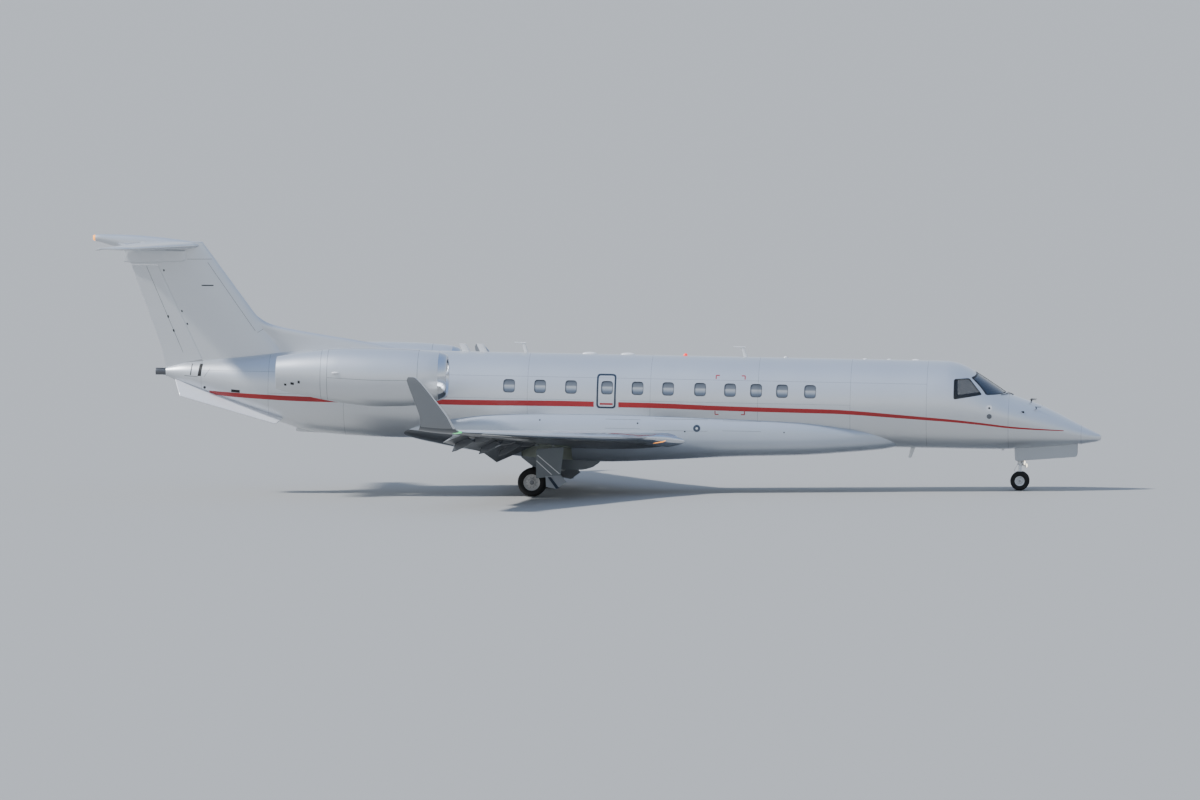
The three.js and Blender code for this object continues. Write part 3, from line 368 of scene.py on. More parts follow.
def patchy(tree, shader, dark, light, scale, low, high, grain=0.0, grain_scale=400, height=0.002):
    """Uneven colour and roughness, as from weather and polishing, with an optional fine grain."""
    spot = add_node(tree, "ShaderNodeTexCoord").outputs["Object"]
    cloud = add_node(tree, "ShaderNodeTexNoise", {"Vector": spot}, Scale=scale, Detail=5,
                     Roughness=0.6)
    mix = add_node(tree, "ShaderNodeMix", {"Factor": cloud.outputs["Fac"]}, data_type="RGBA")
    mix.inputs["A"].default_value, mix.inputs["B"].default_value = dark, light
    tree.links.new(mix.outputs["Result"], shader.inputs["Base Color"])
    sheen = add_node(tree, "ShaderNodeMapRange", {"Value": cloud.outputs["Fac"]})
    for socket, value in (("To Min", low), ("To Max", high)):
        sheen.inputs[socket].default_value = value
    tree.links.new(sheen.outputs["Result"], shader.inputs["Roughness"])
    if grain:
        fine = add_node(tree, "ShaderNodeTexNoise", {"Vector": spot}, Scale=grain_scale,
                        Detail=3)
        bump = add_node(tree, "ShaderNodeBump", {"Height": fine.outputs["Fac"]},
                        Strength=grain, Distance=height)
        tree.links.new(bump.outputs["Normal"], shader.inputs["Normal"])


def sprayed(name, dark, light, metallic, low, high):
    """Two-stage aircraft enamel: a flake base under a clear coat, with very slight waves."""
    material, tree, shader = finish(name, Metallic=metallic, Coat_Weight=0.5,
                                    Coat_Roughness=0.06, Coat_IOR=1.5)
    patchy(tree, shader, tint(dark), tint(light), 0.35, low, high,
           grain=0.12, grain_scale=2.2, height=0.004)
    return material


def mottled(name, dark, light, scale, low, high, grain=0.0, grain_scale=400, **sockets):
    """A finish of uneven colour and roughness that needs nothing more."""
    material, tree, shader = finish(name, **sockets)
    patchy(tree, shader, tint(dark), tint(light), scale, low, high, grain, grain_scale)
    return material


# Silver polyurethane enamel: aluminium flake under lacquer, so it mirrors the sky softly
silver = sprayed("silver_flake_enamel", "CBCED2", "D6D9DC", 0.8, 0.36, 0.44)
# A bluer mix of it on the belly fairing, a composite moulding: its blue is painted reflection of
# the sky
fairing_silver_with_painted_sky = sprayed("flake_enamel_with_painted_sky", "B0B8C3", "BCC4CE", 0.55, 0.36, 0.46)
# The same enamel, greyer, on the winglets
grey = sprayed("grey_flake_enamel", "7C7F82", "888B8E", 0.55, 0.32, 0.42)
# A darker mix of it on the doors of the main gear: grey enamel, made darker as painted shade for
# the wing's shadow over them
door_grey_and_painted_shade = sprayed("dark_flake_enamel_and_painted_shade", "5C6368", "687075", 0.3, 0.36, 0.46)
# A paler mix of it on the nose gear doors and the lower flaps of the leg doors; on the flaps the
# paleness is painted light, the sun and sky that they catch
pale_grey_and_painted_light = sprayed("pale_grey_flake_enamel_and_painted_light", "9EA3A9", "A9AEB4", 0.4, 0.32, 0.42)
# Pale enamel with hardly any flake, on the strakes and the airstair
pale = sprayed("pale_enamel", "D6D8DE", "DFE1E6", 0.1, 0.32, 0.42)
# Red gloss enamel of the side stripe and the marks at the exit
red = sprayed("red_gloss_enamel", "96000A", "A6020E", 0.0, 0.42, 0.5)
# Dark blue gloss enamel of the exit's outline, the fuel port's ring and the leg door's link
navy = sprayed("navy_gloss_enamel", "2C3646", "34404F", 0.1, 0.25, 0.35)
# Darker grey enamel under the wing, the winglets, the flap track fairings and the belly's aft end:
# grey underside paint, made darker as painted shade for the shadow beneath them
under_grey_and_painted_shade = sprayed("undersurface_grey_and_painted_shade", "4A4E53", "565A5F", 0.4, 0.34, 0.46)
# Pale green epoxy primer inside the wheel bays
primer = mottled("epoxy_primer", "8E958B", "A2A89E", 3, 0.5, 0.65)
# Laminate and stretched leather on the cabin's walls: pale, matt and slightly warm
lining = mottled("wall_lining", "BDB8AE", "CCC7BD", 2, 0.55, 0.7, grain=0.2, grain_scale=300,
                 Sheen_Weight=0.1)
# White gloss enamel of the gear legs, aerials and scoops
white = sprayed("white_gear_enamel", "CFD1D3", "DADCDD", 0.0, 0.3, 0.42)

# Bare rolled aluminium, polished by hand: bright, with faint streaks along its length
polished = mottled("polished_aluminium", "C6CBD2", "DADEE4", 1.4, 0.08, 0.17, Metallic=1.0)
# Cast and machined aluminium of the main wheels, dulled by brake dust
cast = mottled("cast_aluminium", "B2B2B2", "C6C6C5", 9, 0.38, 0.55, Metallic=0.35)
# Turned and ground steel of the brakes, nose hub caps and airstair rails
steel = mottled("ground_steel", "85888C", "A0A3A7", 12, 0.22, 0.38, Metallic=1.0)
# Forged titanium, brushed: fan blades, main hub caps and the auxiliary unit's pipe
titanium = mottled("brushed_titanium", "5D5F63", "74767A", 8, 0.28, 0.42, Metallic=1.0)
# Nickel alloy in the exhaust, browned by heat
burnt = mottled("heat_browned_alloy", "3E3A38", "5C5650", 3, 0.35, 0.55, Metallic=1.0)
# Natural rubber tyre: black, dull and slightly dusty
rubber = mottled("tyre_rubber", "141415", "232323", 9, 0.7, 0.88, grain=0.4, grain_scale=160,
                 Specular_IOR_Level=0.35)
# Black sealant and rubber round glass; the same black is painted shade for deep openings, laid on
# the skin as dark sheets
sealant_and_hole_shade = mottled("black_sealant_and_hole_shade", "0D0E10", "17181B", 20, 0.45, 0.6, Specular_IOR_Level=0.4)
# Sealed joint between panels: a grey line a little darker than the enamel
seam_grey = mottled("panel_joint", "5E6165", "6C6F73", 3, 0.45, 0.6, Metallic=0.4)
# Moulded plastic: grey knobs, and black for the cockpit's trim and small fittings outside; the
# black also serves as painted shade in the fin's slot
trim = mottled("moulded_grey_plastic", "4E5154", "5B5E61", 4, 0.5, 0.65, grain=0.3, grain_scale=300)
dark_trim_and_slot_shade = mottled("moulded_black_plastic_and_slot_shade", "15171A", "202327", 6, 0.45, 0.6, grain=0.3,
                    grain_scale=300)
# Leather of the pilots' seats, with a fine grain
leather = mottled("seat_leather", "3A3028", "4A3E34", 6, 0.5, 0.66, grain=0.5, grain_scale=260,
                  Sheen_Weight=0.15)
# Ribbed carpet on the cockpit floor
carpet = mottled("floor_carpet", "2B2C2E", "3A3B3D", 30, 0.85, 0.95, grain=0.8, grain_scale=500,
                 Sheen_Weight=0.3)
# Laminated glass of the windscreen, tinted dark blue as painted reflection of the sky, and the
# plainer side windows
glass, tree, shader = finish("laminated_glass", Roughness=0.03, IOR=1.52, Alpha=0.72,
                             Coat_Weight=1.0, Coat_Roughness=0.02)
shader.inputs["Base Color"].default_value = tint("0A2036")
side_glass, tree, shader = finish("stretched_acrylic", Roughness=0.03, IOR=1.5, Alpha=0.36,
                                  Coat_Weight=1.0, Coat_Roughness=0.02)
shader.inputs["Base Color"].default_value = tint("1A2026")
# Flat displays: black glass with a faint blue picture behind it
display, tree, shader = finish("display_glass", Roughness=0.08, Coat_Weight=1.0,
                               Emission_Strength=0.12)
patchy(tree, shader, tint("05070A"), tint("101A26"), 14, 0.06, 0.12)
shader.inputs["Emission Color"].default_value = tint("3C78B4")
# Lamp lenses: clear, amber, green and red moulded glass that glows a little
lamps = {}
for lamp, (code, power) in {"clear": ("FFF3DC", 2.5), "amber": ("FFA03C", 1.8),
                            "green": ("2FE37A", 0.9), "red": ("FF2A1E", 0.9)}.items():
    lamps[lamp], tree, shader = finish(f"{lamp}_lens", Roughness=0.12, Coat_Weight=1.0,
                                       Emission_Strength=power)
    shader.inputs["Base Color"].default_value = tint(code)
    shader.inputs["Emission Color"].default_value = tint(code)

# Cabin window: tinted acrylic, coloured by height as painted light and shade: dark above and below,
# with the light of the far windows between
pane, tree, shader = finish("cabin_acrylic", Roughness=0.12, Coat_Weight=1.0, Coat_Roughness=0.03)
height = add_node(tree, "ShaderNodeVectorMath",
                  {0: add_node(tree, "ShaderNodeTexCoord").outputs["Object"]},
                  operation="DOT_PRODUCT")
height.inputs[1].default_value = (sin(PITCH), 0, cos(PITCH))
base_height = (AXIS_HEIGHT * cos(PITCH) + SHIFT_X * sin(PITCH)) / 1000
band = add_node(tree, "ShaderNodeMapRange", {"Value": height.outputs["Value"]})
for socket, value in (("From Min", base_height + 0.135), ("From Max", base_height + 0.481)):
    band.inputs[socket].default_value = value
shades = add_node(tree, "ShaderNodeValToRGB", {"Fac": band.outputs["Result"]})
for k, (spot, code) in enumerate(((0.0, "3F4854"), (0.22, "566273"), (0.38, "8A929C"),
                                  (0.52, "A3A6A8"), (0.62, "666C74"), (1.0, "43484F"))):
    stop = shades.color_ramp.elements[k] if k < 2 else shades.color_ramp.elements.new(spot)
    stop.position, stop.color = spot, tint(code)
tree.links.new(shades.outputs["Color"], shader.inputs["Base Color"])


def dress(piece, body, material, *nodes, slot="silver_paint"):
    """Gives a finished piece its material, its body and the model's nodes that it stands for."""
    if material and not piece.data.materials:
        piece.data.materials.append(material)
    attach(piece, body)
    if nodes:
        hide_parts(*nodes)
    return piece


def dress_pair(piece, name, body, material, node=None, slot="silver_paint"):
    """Dresses a port piece's copies for both sides, each on its own side's body and node."""
    for word, side in SIDES:
        dress(on_side(piece, side, f"{name}_{word}"),
              body if body == "airframe" else f"{body}_{word}", material,
              *([f"{node}_{word}"] if node else []), slot=slot)
    drop(piece)


# Camera, at the photograph's viewing angle: far away, slightly above and ahead of abeam
SWING, RISE, ROLL = radians(4.1), radians(2.51), radians(0.44)
LENS, SENSOR = 360, 36
PICTURE_WIDTH, PIXELS_PER_METRE = 1200, 38.34
CAMERA_FAR = LENS / SENSOR * PICTURE_WIDTH / PIXELS_PER_METRE
AIM_ALONG, AIM_HEIGHT = 0.063, 2.393
right = Vector((cos(SWING), sin(SWING), 0))
back = Vector((sin(SWING) * cos(RISE), -cos(SWING) * cos(RISE), sin(RISE)))
up = back.cross(right)
camera_data = bpy.data.cameras.new("camera")
camera_data.lens, camera_data.sensor_width, camera_data.clip_end = LENS, SENSOR, 2000
camera = bpy.data.objects.new("camera", camera_data)
bpy.context.scene.collection.objects.link(camera)
bpy.context.scene.camera = camera
axes = Matrix((right * cos(ROLL) - up * sin(ROLL), up * cos(ROLL) + right * sin(ROLL), back))
aim = right * (AIM_ALONG + SHIFT_X / 1000 * cos(SWING)) + up * AIM_HEIGHT
camera.matrix_world = Matrix.Translation(aim + back * CAMERA_FAR) @ axes.transposed().to_4x4()

# Fuselage: station, top, bottom, half width, waterline of the widest point
HULL = [
    [0, -758, -806, 20, -782], [14, -728, -832, 52, -780], [60, -692, -868, 110, -780],
    [134, -658, -893, 178, -775], [330, -560, -930, 300, -750], [529, -465, -965, 392, -720],
    [790, -335, -998, 490, -670], [1056, -202, -1024, 580, -610], [1583, 40, -1068, 745, -490],
    [2108, 222, -1106, 880, -370], [2449, 343, -1126, 955, -290], [2640, 466, -1134, 992, -250],
    [3336, 905, -1140, 1085, -110], [3560, 1022, -1140, 1103, -70], [3780, 1100, -1140, 1118, -35],
    [4040, 1138, -1140, 1130, -12], [4400, 1140, -1140, 1140, 0], [18500, 1140, -1140, 1140, 0],
    [19500, 1125, -1112, 1120, 5], [20667, 1087, -1018, 1030, 40], [21392, 1025, -815, 905, 110],
    [22100, 945, -570, 755, 190], [22800, 860, -315, 590, 275], [23400, 786, -92, 440, 350],
    [23937, 715, 125, 300, 420], [24460, 575, 345, 120, 460],
]
AROUND = 112
NOSE_JOINT, CABIN_JOINT, TAIL_JOINT, HULL_END = 520, 6500, 14900, 24460
TUBE_END = 18500                 # where the round tube begins to taper


def hull_ring(fs, turns, grow, shift=0.0):
    """Points round the hull at a station, at angles from its top."""
    _, top, bottom, half, widest = curve(HULL, fs)
    return [at(fs + shift, (half + grow) * sin(turn), widest
               + ((top - widest if cos(turn) > 0 else widest - bottom) + grow) * cos(turn))
            for turn in turns]


def hull(name, low, high, grow=0.0, fine=4):
    """The fuselage's form between two stations, larger by grow all round."""
    return skin(name, [hull_ring(fs, circle(AROUND), grow)
                       for fs in steps_between(HULL, low, high, fine)])


def layer(name, tool, low, high, inner=-8.0, outer=2.0):
    """What a tool cuts out of a thin layer at the hull's surface: paint, a pane or a seal."""
    piece = hull(name, low, high, outer)
    carve(piece, tool, "INTERSECT")
    core = hull("core", low - 5, high + 5, inner)
    return smooth(carve(piece, core))


def within_hull(point, depth):
    """Whether a point lies deeper than this many millimetres under the fuselage's skin."""
    fs, y, wl = station(point)
    _, top, bottom, half, widest = curve(HULL, fs)
    rise = top - widest if wl > widest else widest - bottom
    return (y / (half - depth)) ** 2 + ((wl - widest) / (rise - depth)) ** 2 < 1


JOINT_LINE = 1.5                 # half the joint between fuselage sections
dress(hull("radome_skin", 0, NOSE_JOINT - JOINT_LINE), "airframe", silver, "radome")

# Forward fuselage: hollow, with its windows, doorway and nose gear bay cut
WINDSCREEN = [(28, 368), (872, 300), (632, 745), (28, 892)]
SIDE_WINDOW = [(3084, 309), (3822, 180), (3826, 700), (3434, 729)]
GLASS_FS = (2300, 4100)
DOOR = {"fs": (4700, 5460), "wl": (-792, 820)}
SILL_CHAMFER = ((783, -806), (841, -806), (841, -874))
BAY = {"fs": (574, 2290), "half": 205, "roof": -620}
WALL, LINED = 70, 50             # thickness of the cabin's wall, and how deep its lining begins


def inset(corners, amount):
    """Corners of an outline moved inwards along their bisectors."""
    middle = sum((Vector(c) for c in corners), Vector((0, 0))) / len(corners)
    return [tuple(Vector(c) + (middle - Vector(c)).normalized() * amount * 1.4) for c in corners]


def windscreen_tool(amount, side):
    outline = rounded(inset(WINDSCREEN, amount), 45)
    return skin("tool", [[at(fs, p[0] * side, p[1]) for p in outline]
                         for fs in (GLASS_FS[0], 3460)])


def side_window_tool(amount, side):
    outline = rounded(inset(SIDE_WINDOW, amount), 55)
    return plate("tool", outline, (300 * side, 1400 * side))


forward = hull("forward_fuselage_skin", NOSE_JOINT + JOINT_LINE, CABIN_JOINT - JOINT_LINE)
carve(forward, hull("tool", 2560, 6400, -WALL))
carve(forward, block("tool", BAY["fs"], (-BAY["half"], BAY["half"]), (-1400, BAY["roof"])))
carve(forward, block("tool", DOOR["fs"], (400, 1300), (DOOR["wl"][0] - 15, DOOR["wl"][1])))
carve(forward, skin("tool", [[at(fs, y, wl) for y, wl in SILL_CHAMFER] for fs in DOOR["fs"]]))
for word, side in SIDES:
    carve(forward, windscreen_tool(0, side))
    carve(forward, side_window_tool(0, side))
dress(smooth(forward), "airframe", silver, "forward_fuselage")
paint(forward, lining, lambda f: within_hull(f.center, LINED))
paint(forward, primer, lambda f: within_hull(f.center, 4)
      and station(f.center)[0] < BAY["fs"][1] + 5
      and abs(f.center.y) * 1000 < BAY["half"] + 2 and station(f.center)[2] < BAY["roof"] + 4)

for word, side in SIDES:
    for kind, tool in (("windscreen", windscreen_tool), ("cockpit_window", side_window_tool)):
        seal = layer(f"{kind}_seal_{word}", tool(-2, side), *GLASS_FS, -22, 0.5)
        carve(seal, tool(20, side))
        dress(smooth(seal), "airframe", sealant_and_hole_shade, slot="tyre_rubber")
        dress(layer(f"{kind}_pane_{word}", tool(14, side), *GLASS_FS, -24, -7),
              "airframe", glass if kind == "windscreen" else side_glass, f"{kind}_{word}",
              slot="window_glass")

# Cabin and rear fuselage, with shallow pockets for the cabin windows
CABIN_WINDOWS = [15382, 14574, 13766, 12828, 12034, 11239, 10406, 9626, 8949, 8273, 7546]
WINDOW = {"wl": 308, "width": 306, "height": 346, "round": 95}
WINDOWS_FS, WINDOWS_END = (7000, 15900), 18000


def window_tools(grow, low, high, y):
    """A block through each cabin window between two stations, its outline larger by grow."""
    tools = [plate("tool", window_outline(fs, WINDOW["wl"], WINDOW["width"] + 2 * grow,
                                          WINDOW["height"] + 2 * grow, WINDOW["round"] + grow),
                   y) for fs in CABIN_WINDOWS if low < fs < high]
    return join("tools", *tools)


cabin = hull("cabin_fuselage_skin", CABIN_JOINT + JOINT_LINE, TAIL_JOINT - JOINT_LINE, fine=40)
rear = hull("rear_fuselage_skin", TAIL_JOINT + JOINT_LINE, HULL_END, fine=6)
for word, side in SIDES:
    pocket, through = (1000 * side, 1300 * side), (960 * side, 1300 * side)
    carve(cabin, window_tools(0, CABIN_JOINT, TAIL_JOINT, pocket))
    carve(rear, window_tools(0, TAIL_JOINT, WINDOWS_END, pocket))
    panes = layer(f"cabin_panes_{word}", window_tools(1, CABIN_JOINT, WINDOWS_END, through),
                  *WINDOWS_FS, -26, -15)
    dress(panes, "airframe", pane, slot="window_glass")
    rims = layer(f"cabin_window_rims_{word}",
                 window_tools(0, CABIN_JOINT, WINDOWS_END, through), *WINDOWS_FS, -24, -4)
    carve(rims, window_tools(-12, CABIN_JOINT, WINDOWS_END, through))
    dress(smooth(rims), "airframe", dark_trim_and_slot_shade, slot="lining")
dress(smooth(cabin), "airframe", silver, "cabin_fuselage")
dress(smooth(rear), "airframe", silver, "rear_fuselage")


def sheet(name, rows, inside, thick=0.003, angle=35):
    """An open skin through rows of points, facing away from a point inside, with a thickness."""
    along, across = len(rows) - 1, len(rows[0]) - 1
    bpy.ops.mesh.primitive_grid_add(x_subdivisions=along, y_subdivisions=across, size=1)
    piece = bpy.context.object
    piece.name = name
    for v in piece.data.vertices:
        v.co = rows[round((v.co.x + 0.5) * along)][round((v.co.y + 0.5) * across)]
    piece.data.update()
    if sum((f.center - inside).dot(f.normal) * f.area for f in piece.data.polygons) < 0:
        piece.data.flip_normals()
    shape(piece, "SOLIDIFY", thickness=thick, offset=-1)
    return smooth(piece, angle)


def hull_point(fs, wl, side, grow=1.5):
    """The point of the hull's skin at a station and waterline."""
    _, top, bottom, half, widest = curve(HULL, fs)
    rise = (top - widest if wl > widest else widest - bottom) + grow
    return at(fs, side * (half + grow) * sqrt(max(0, 1 - ((wl - widest) / rise) ** 2)), wl)


def ribbon(name, loop, other, side, grow=1.5, thick=0.003):
    """A band of the hull's skin between two closed loops of (fs, wl) points."""
    rows = [[hull_point(*p, side, grow) for p in (*ring, ring[0])] for ring in (loop, other)]
    middle = sum((Vector(p) for p in loop), Vector((0, 0))) / len(loop)
    return sheet(name, rows, at(middle[0], 0, middle[1]), thick)


def disc(name, fs, wl, radius, side, grow=1.5):
    """A round patch of the hull's skin."""
    return ribbon(name, round_loop(fs, wl, radius, 24), round_loop(fs, wl, 0.5, 24), side, grow)


def strip(name, line, width, side, grow=1.5, thick=0.003, cuts=()):
    """A stripe along a line of (fs, wl) points on the hull, with widths at its points."""
    rows = []
    for (a, wa), (b, wb) in zip(zip(line, width), zip(line[1:], width[1:])):
        count = max(1, round(abs(b[0] - a[0]) / 130 + abs(b[1] - a[1]) / 20))
        for i in range(count):
            t = i / count
            rows.append((a[0] + (b[0] - a[0]) * t, a[1] + (b[1] - a[1]) * t, wa + (wb - wa) * t))
    rows.append((*line[-1], width[-1]))
    steep = abs(line[-1][1] - line[0][1]) > abs(line[-1][0] - line[0][0])
    points = []
    for fs, wl, w in rows:
        spread = [w * (k / 3 - 0.5) for k in range(4)]
        points.append([hull_point(fs + (d if steep else 0), wl + (0 if steep else d), side, grow)
                       for d in spread])
    middle = rows[len(rows) // 2]
    return sheet(name, points, at(middle[0], 0, 0), thick)


# Side stripe: it runs from the nose to the tail, and stops short of the exit's outline
STRIPE = [(967, -597, 22), (1539, -572, 34), (2318, -528, 48), (3087, -446, 58), (3867, -376, 68),
          (4646, -326, 80), (5427, -277, 92), (6207, -228, 102), (6987, -197, 110),
          (8547, -184, 116), (10108, -163, 122), (11671, -129, 132), (14016, -124, 142),
          (16363, -144, 138), (20542, -147, 128), (22600, -96, 116), (23290, -52, 92)]
STRIPE_FS = (STRIPE[0][0], STRIPE[-1][0])
EXIT = {"fs": (12592, 13100), "wl": (-229, 667), "line": 48, "margin": 65, "round": 100}


def stripe_part(name, low, high, side, grow=1.5):
    """The side stripe between two stations."""
    rows = [curve(STRIPE, fs) for fs in steps_between(STRIPE, low, high, 3)]
    return strip(name, [(r[0], r[1]) for r in rows], [r[2] for r in rows], side, grow)


for word, side in SIDES:
    stretches = [(STRIPE_FS[0], EXIT["fs"][0] - EXIT["margin"]),
                 (EXIT["fs"][1] + EXIT["margin"], STRIPE_FS[1])]
    if side > 0:
        stretches = [(STRIPE_FS[0], DOOR["fs"][0]), (DOOR["fs"][1], stretches[0][1]),
                     stretches[1]]
    pieces = [stripe_part("part", *stretch, side) for stretch in stretches]
    dress(join(f"side_stripe_{word}", *pieces), "airframe", red)

    # Overwing exit: its painted outline, the handle bar and the step marks
    middle_fs, middle_wl = sum(EXIT["fs"]) / 2, sum(EXIT["wl"]) / 2
    wide, tall = EXIT["fs"][1] - EXIT["fs"][0], EXIT["wl"][1] - EXIT["wl"][0]
    band, joint = ([dense(window_outline(middle_fs, middle_wl, wide - 2 * d, tall - 2 * d,
                                         EXIT["round"] - 0.7 * d, 6)) for d in depths]
                   for depths in ((0, EXIT["line"]), (EXIT["line"] / 2 - 3, EXIT["line"] / 2 + 3)))
    dress(ribbon(f"exit_outline_{word}", *band, side), "airframe", navy)
    dress(ribbon(f"exit_joint_{word}", *joint, side, 2.5), "airframe", sealant_and_hole_shade)
    marks = [strip("part", [(12672, -112), (13011, -112)], [46, 46], side)]
    for fs, wl, down in ((10001, 680, -1), (9247, 680, -1), (10007, -328, 1), (9240, -322, 1)):
        inward = -92 if fs > 9600 else 92
        marks.append(strip("part", [(fs, wl), (fs + inward, wl)], [26, 26], side))
        marks.append(strip("part", [(fs, wl), (fs, wl + 92 * down)], [26, 26], side))
    dress(join(f"exit_marks_{word}", *marks), "airframe", red)

# Joints between skin panels, as fine grey lines round the hull and along it
SEAM = {"half": 2.5, "width": 4, "grow": 0.8, "thick": 0.002}
seams = []
for fs in (NOSE_JOINT, 2400, 4520, CABIN_JOINT, 8900, 11700, TAIL_JOINT, 17300, 19700, 21700,
           23500):
    rows = [hull_ring(fs, [*circle(96), 2 * pi], SEAM["grow"], d)
            for d in (-SEAM["half"], SEAM["half"])]
    seams.append(sheet("seam", rows, at(fs, 0, curve(HULL, fs)[4]), SEAM["thick"]))
for word, side in SIDES:
    for wl, low, high in ((560, 4520, 23500), (-20, 6500, 12500), (-20, 13200, 21700)):
        stations = [low + (high - low) * i / 40 for i in range(41)]
        line = [(fs, wl * (1 - 0.06 * max(0, fs - TUBE_END) / 5000)) for fs in stations]
        seams.append(strip("seam", line, [SEAM["width"]] * 41, side, SEAM["grow"], SEAM["thick"]))
dress(join("fuselage_joints", *seams), "airframe", seam_grey)

# Entry door: its skin, thick frame and folding steps inside
DOOR_THICK, DOOR_GAP = 60, 6
door = hull("door_skin", DOOR["fs"][0] - 300, DOOR["fs"][1] + 300, fine=8)
carve(door, block("tool", (DOOR["fs"][0] + DOOR_GAP, DOOR["fs"][1] - DOOR_GAP), (400, 1300),
                  (DOOR["wl"][0], DOOR["wl"][1] - DOOR_GAP)), "INTERSECT")
carve(door, hull("tool", DOOR["fs"][0] - 400, DOOR["fs"][1] + 400, -DOOR_THICK, fine=8))
dress(smooth(bevelled(door, 0.004, limit=40)), "entry_door", silver, "entry_door")
paint(door, lining, lambda f: within_hull(f.center, LINED))

# Airstair on the door's inner side: cheeks, treads with rubber tops, and folding handrails
TREAD = {"wl": (-440, -200, 40, 280, 520), "depth": 200, "fs": (4768, 5392), "tilt": radians(35)}
CHEEK_WL = (-640, 590)


def step_line(wl):
    """Where the front edges of the treads lie, inboard of the door."""
    return 745 + (wl - CHEEK_WL[0]) * 0.09


cheeks = []
for fs in (TREAD["fs"][0] - 22, TREAD["fs"][1] + 2):
    heights = [CHEEK_WL[0] + (CHEEK_WL[1] - CHEEK_WL[0]) * k / 12 for k in range(13)]
    rings = []
    for edge in (fs, fs + 20):
        outer = [hull_point(edge, wl, 1, -DOOR_THICK + 1) for wl in heights]
        inner = [at(edge, step_line(wl), wl) for wl in reversed(heights)]
        rings.append(outer + inner)
    cheeks.append(bevelled(skin("cheek", rings), 0.003))
treads, rubbers = [], []
for wl in TREAD["wl"]:
    nose = Vector((0, step_line(wl) + 6, wl))
    run = Vector((0, sin(TREAD["tilt"]), -cos(TREAD["tilt"]))) * TREAD["depth"]
    lift = Vector((0, -cos(TREAD["tilt"]), -sin(TREAD["tilt"])))
    for thick, low, pile, first, last, inset_fs in ((22, 0, treads, 0, 1, 0),
                                                    (4, 22, rubbers, 0.06, 0.94, 24)):
        rings = []
        for fs in (TREAD["fs"][0] + inset_fs, TREAD["fs"][1] - inset_fs):
            rings.append([at(*(Vector((fs, 0, 0)) + nose + run * t + lift * h))
                          for t, h in ((first, low), (last, low), (last, low + thick),
                                       (first, low + thick))])
        pile.append(bevelled(skin("tread", rings), 0.002))
dress(join("airstair_frame", *cheeks, *treads), "entry_door", pale, slot="lining")
dress(join("airstair_rubber", *rubbers), "entry_door", rubber, slot="lining")
rails = []
for fs in (TREAD["fs"][0] - 34, TREAD["fs"][1] + 34):
    line = [at(fs, step_line(wl) - d, wl) for wl, d in
            ((-420, -40), (-400, 10), (-300, 14), (0, 14), (300, 14), (560, 12), (600, -40))]
    rails.append(tube("rail", line, 0.011))
    rails.append(bar("post", at(fs, step_line(60) - 14, 60),
                     hull_point(fs, 60, 1, -DOOR_THICK), 0.009, sides=16))
dress(join("airstair_handrails", *rails), "entry_door", steel, slot="lining")
dress(stripe_part("door_stripe", DOOR["fs"][0] + DOOR_GAP, DOOR["fs"][1] - DOOR_GAP, 1),
      "entry_door", red)

# Lifting surfaces: rows of leading edge station, y, waterline, chord, thickness, incidence, cant
SPACING = [0.5 - 0.5 * cos(pi * k / 26) for k in range(27)]
BLUNT = 3                        # least half thickness of a trailing edge
NOSE_ROOM, HINGE_ROOM = 28, 8    # room kept ahead of a hinge line and round a hinged nose


def half_thick(step):
    """Half the thickness of a section at a step along its chord, as a share of its own."""
    return 5 * (0.2969 * sqrt(step) - 0.126 * step - 0.3516 * step ** 2
                + 0.2843 * step ** 3 - 0.1036 * step ** 4)


def foil(row, step, face, grow=0.0):
    """A point on the upper (1) or lower (-1) face of a section, in stations."""
    fs, y, wl, chord, thick, incidence, cant = row
    tilt, lean = radians(incidence), radians(cant)
    along = Vector((cos(tilt), sin(lean) * sin(tilt), -cos(lean) * sin(tilt)))
    across = Vector((sin(tilt), -sin(lean) * cos(tilt), cos(lean) * cos(tilt)))
    rise = max(thick * half_thick(step), BLUNT if step > 0.5 else 0) + grow
    return Vector((fs, y, wl)) + along * (chord * step - (grow if step < 0.02 else 0)) \
        + across * face * (rise if face else 0)


def row_at(rows, value, column=1):
    """The row where a column has this value, on straight lines between the rows."""
    k = max(1, next((i for i, row in enumerate(rows) if row[column] > value), len(rows) - 1))
    a, b = rows[k - 1], rows[k]
    t = (value - a[column]) / (b[column] - a[column])
    return [p + t * (q - p) for p, q in zip(a, b)]


def section(steps):
    """Spots once round a section: forward along its upper face, aft along its lower one."""
    return [(s, 1) for s in reversed(steps)] + [(s, -1) for s in steps[1:]]


def round_nose(steps):
    """Spots round a section's nose: forward along its upper face, back along its lower one."""
    return [(s, 1) for s in steps] + [(0, 0)] + [(s, -1) for s in reversed(steps)]


def bent(rows, fine=6):
    """Rows on smooth lines through the given ones, for a body that curves along its span."""
    counted = [[i, *row] for i, row in enumerate(rows)]
    return [curve(counted, i / fine)[1:] for i in range(fine * (len(rows) - 1) + 1)]


def lifting(name, rows, angle=35):
    """A wing or fin through rows of sections."""
    return skin(name, [[at(*foil(row, *spot)) for spot in section(SPACING)] for row in rows],
                angle=angle)


def hinge_of(rows, value, step, column=1):
    """The hinge's place in a section, and half the section's thickness there."""
    row = row_at(rows, value, column)
    return foil(row, step, 0), row[4] * half_thick(step)


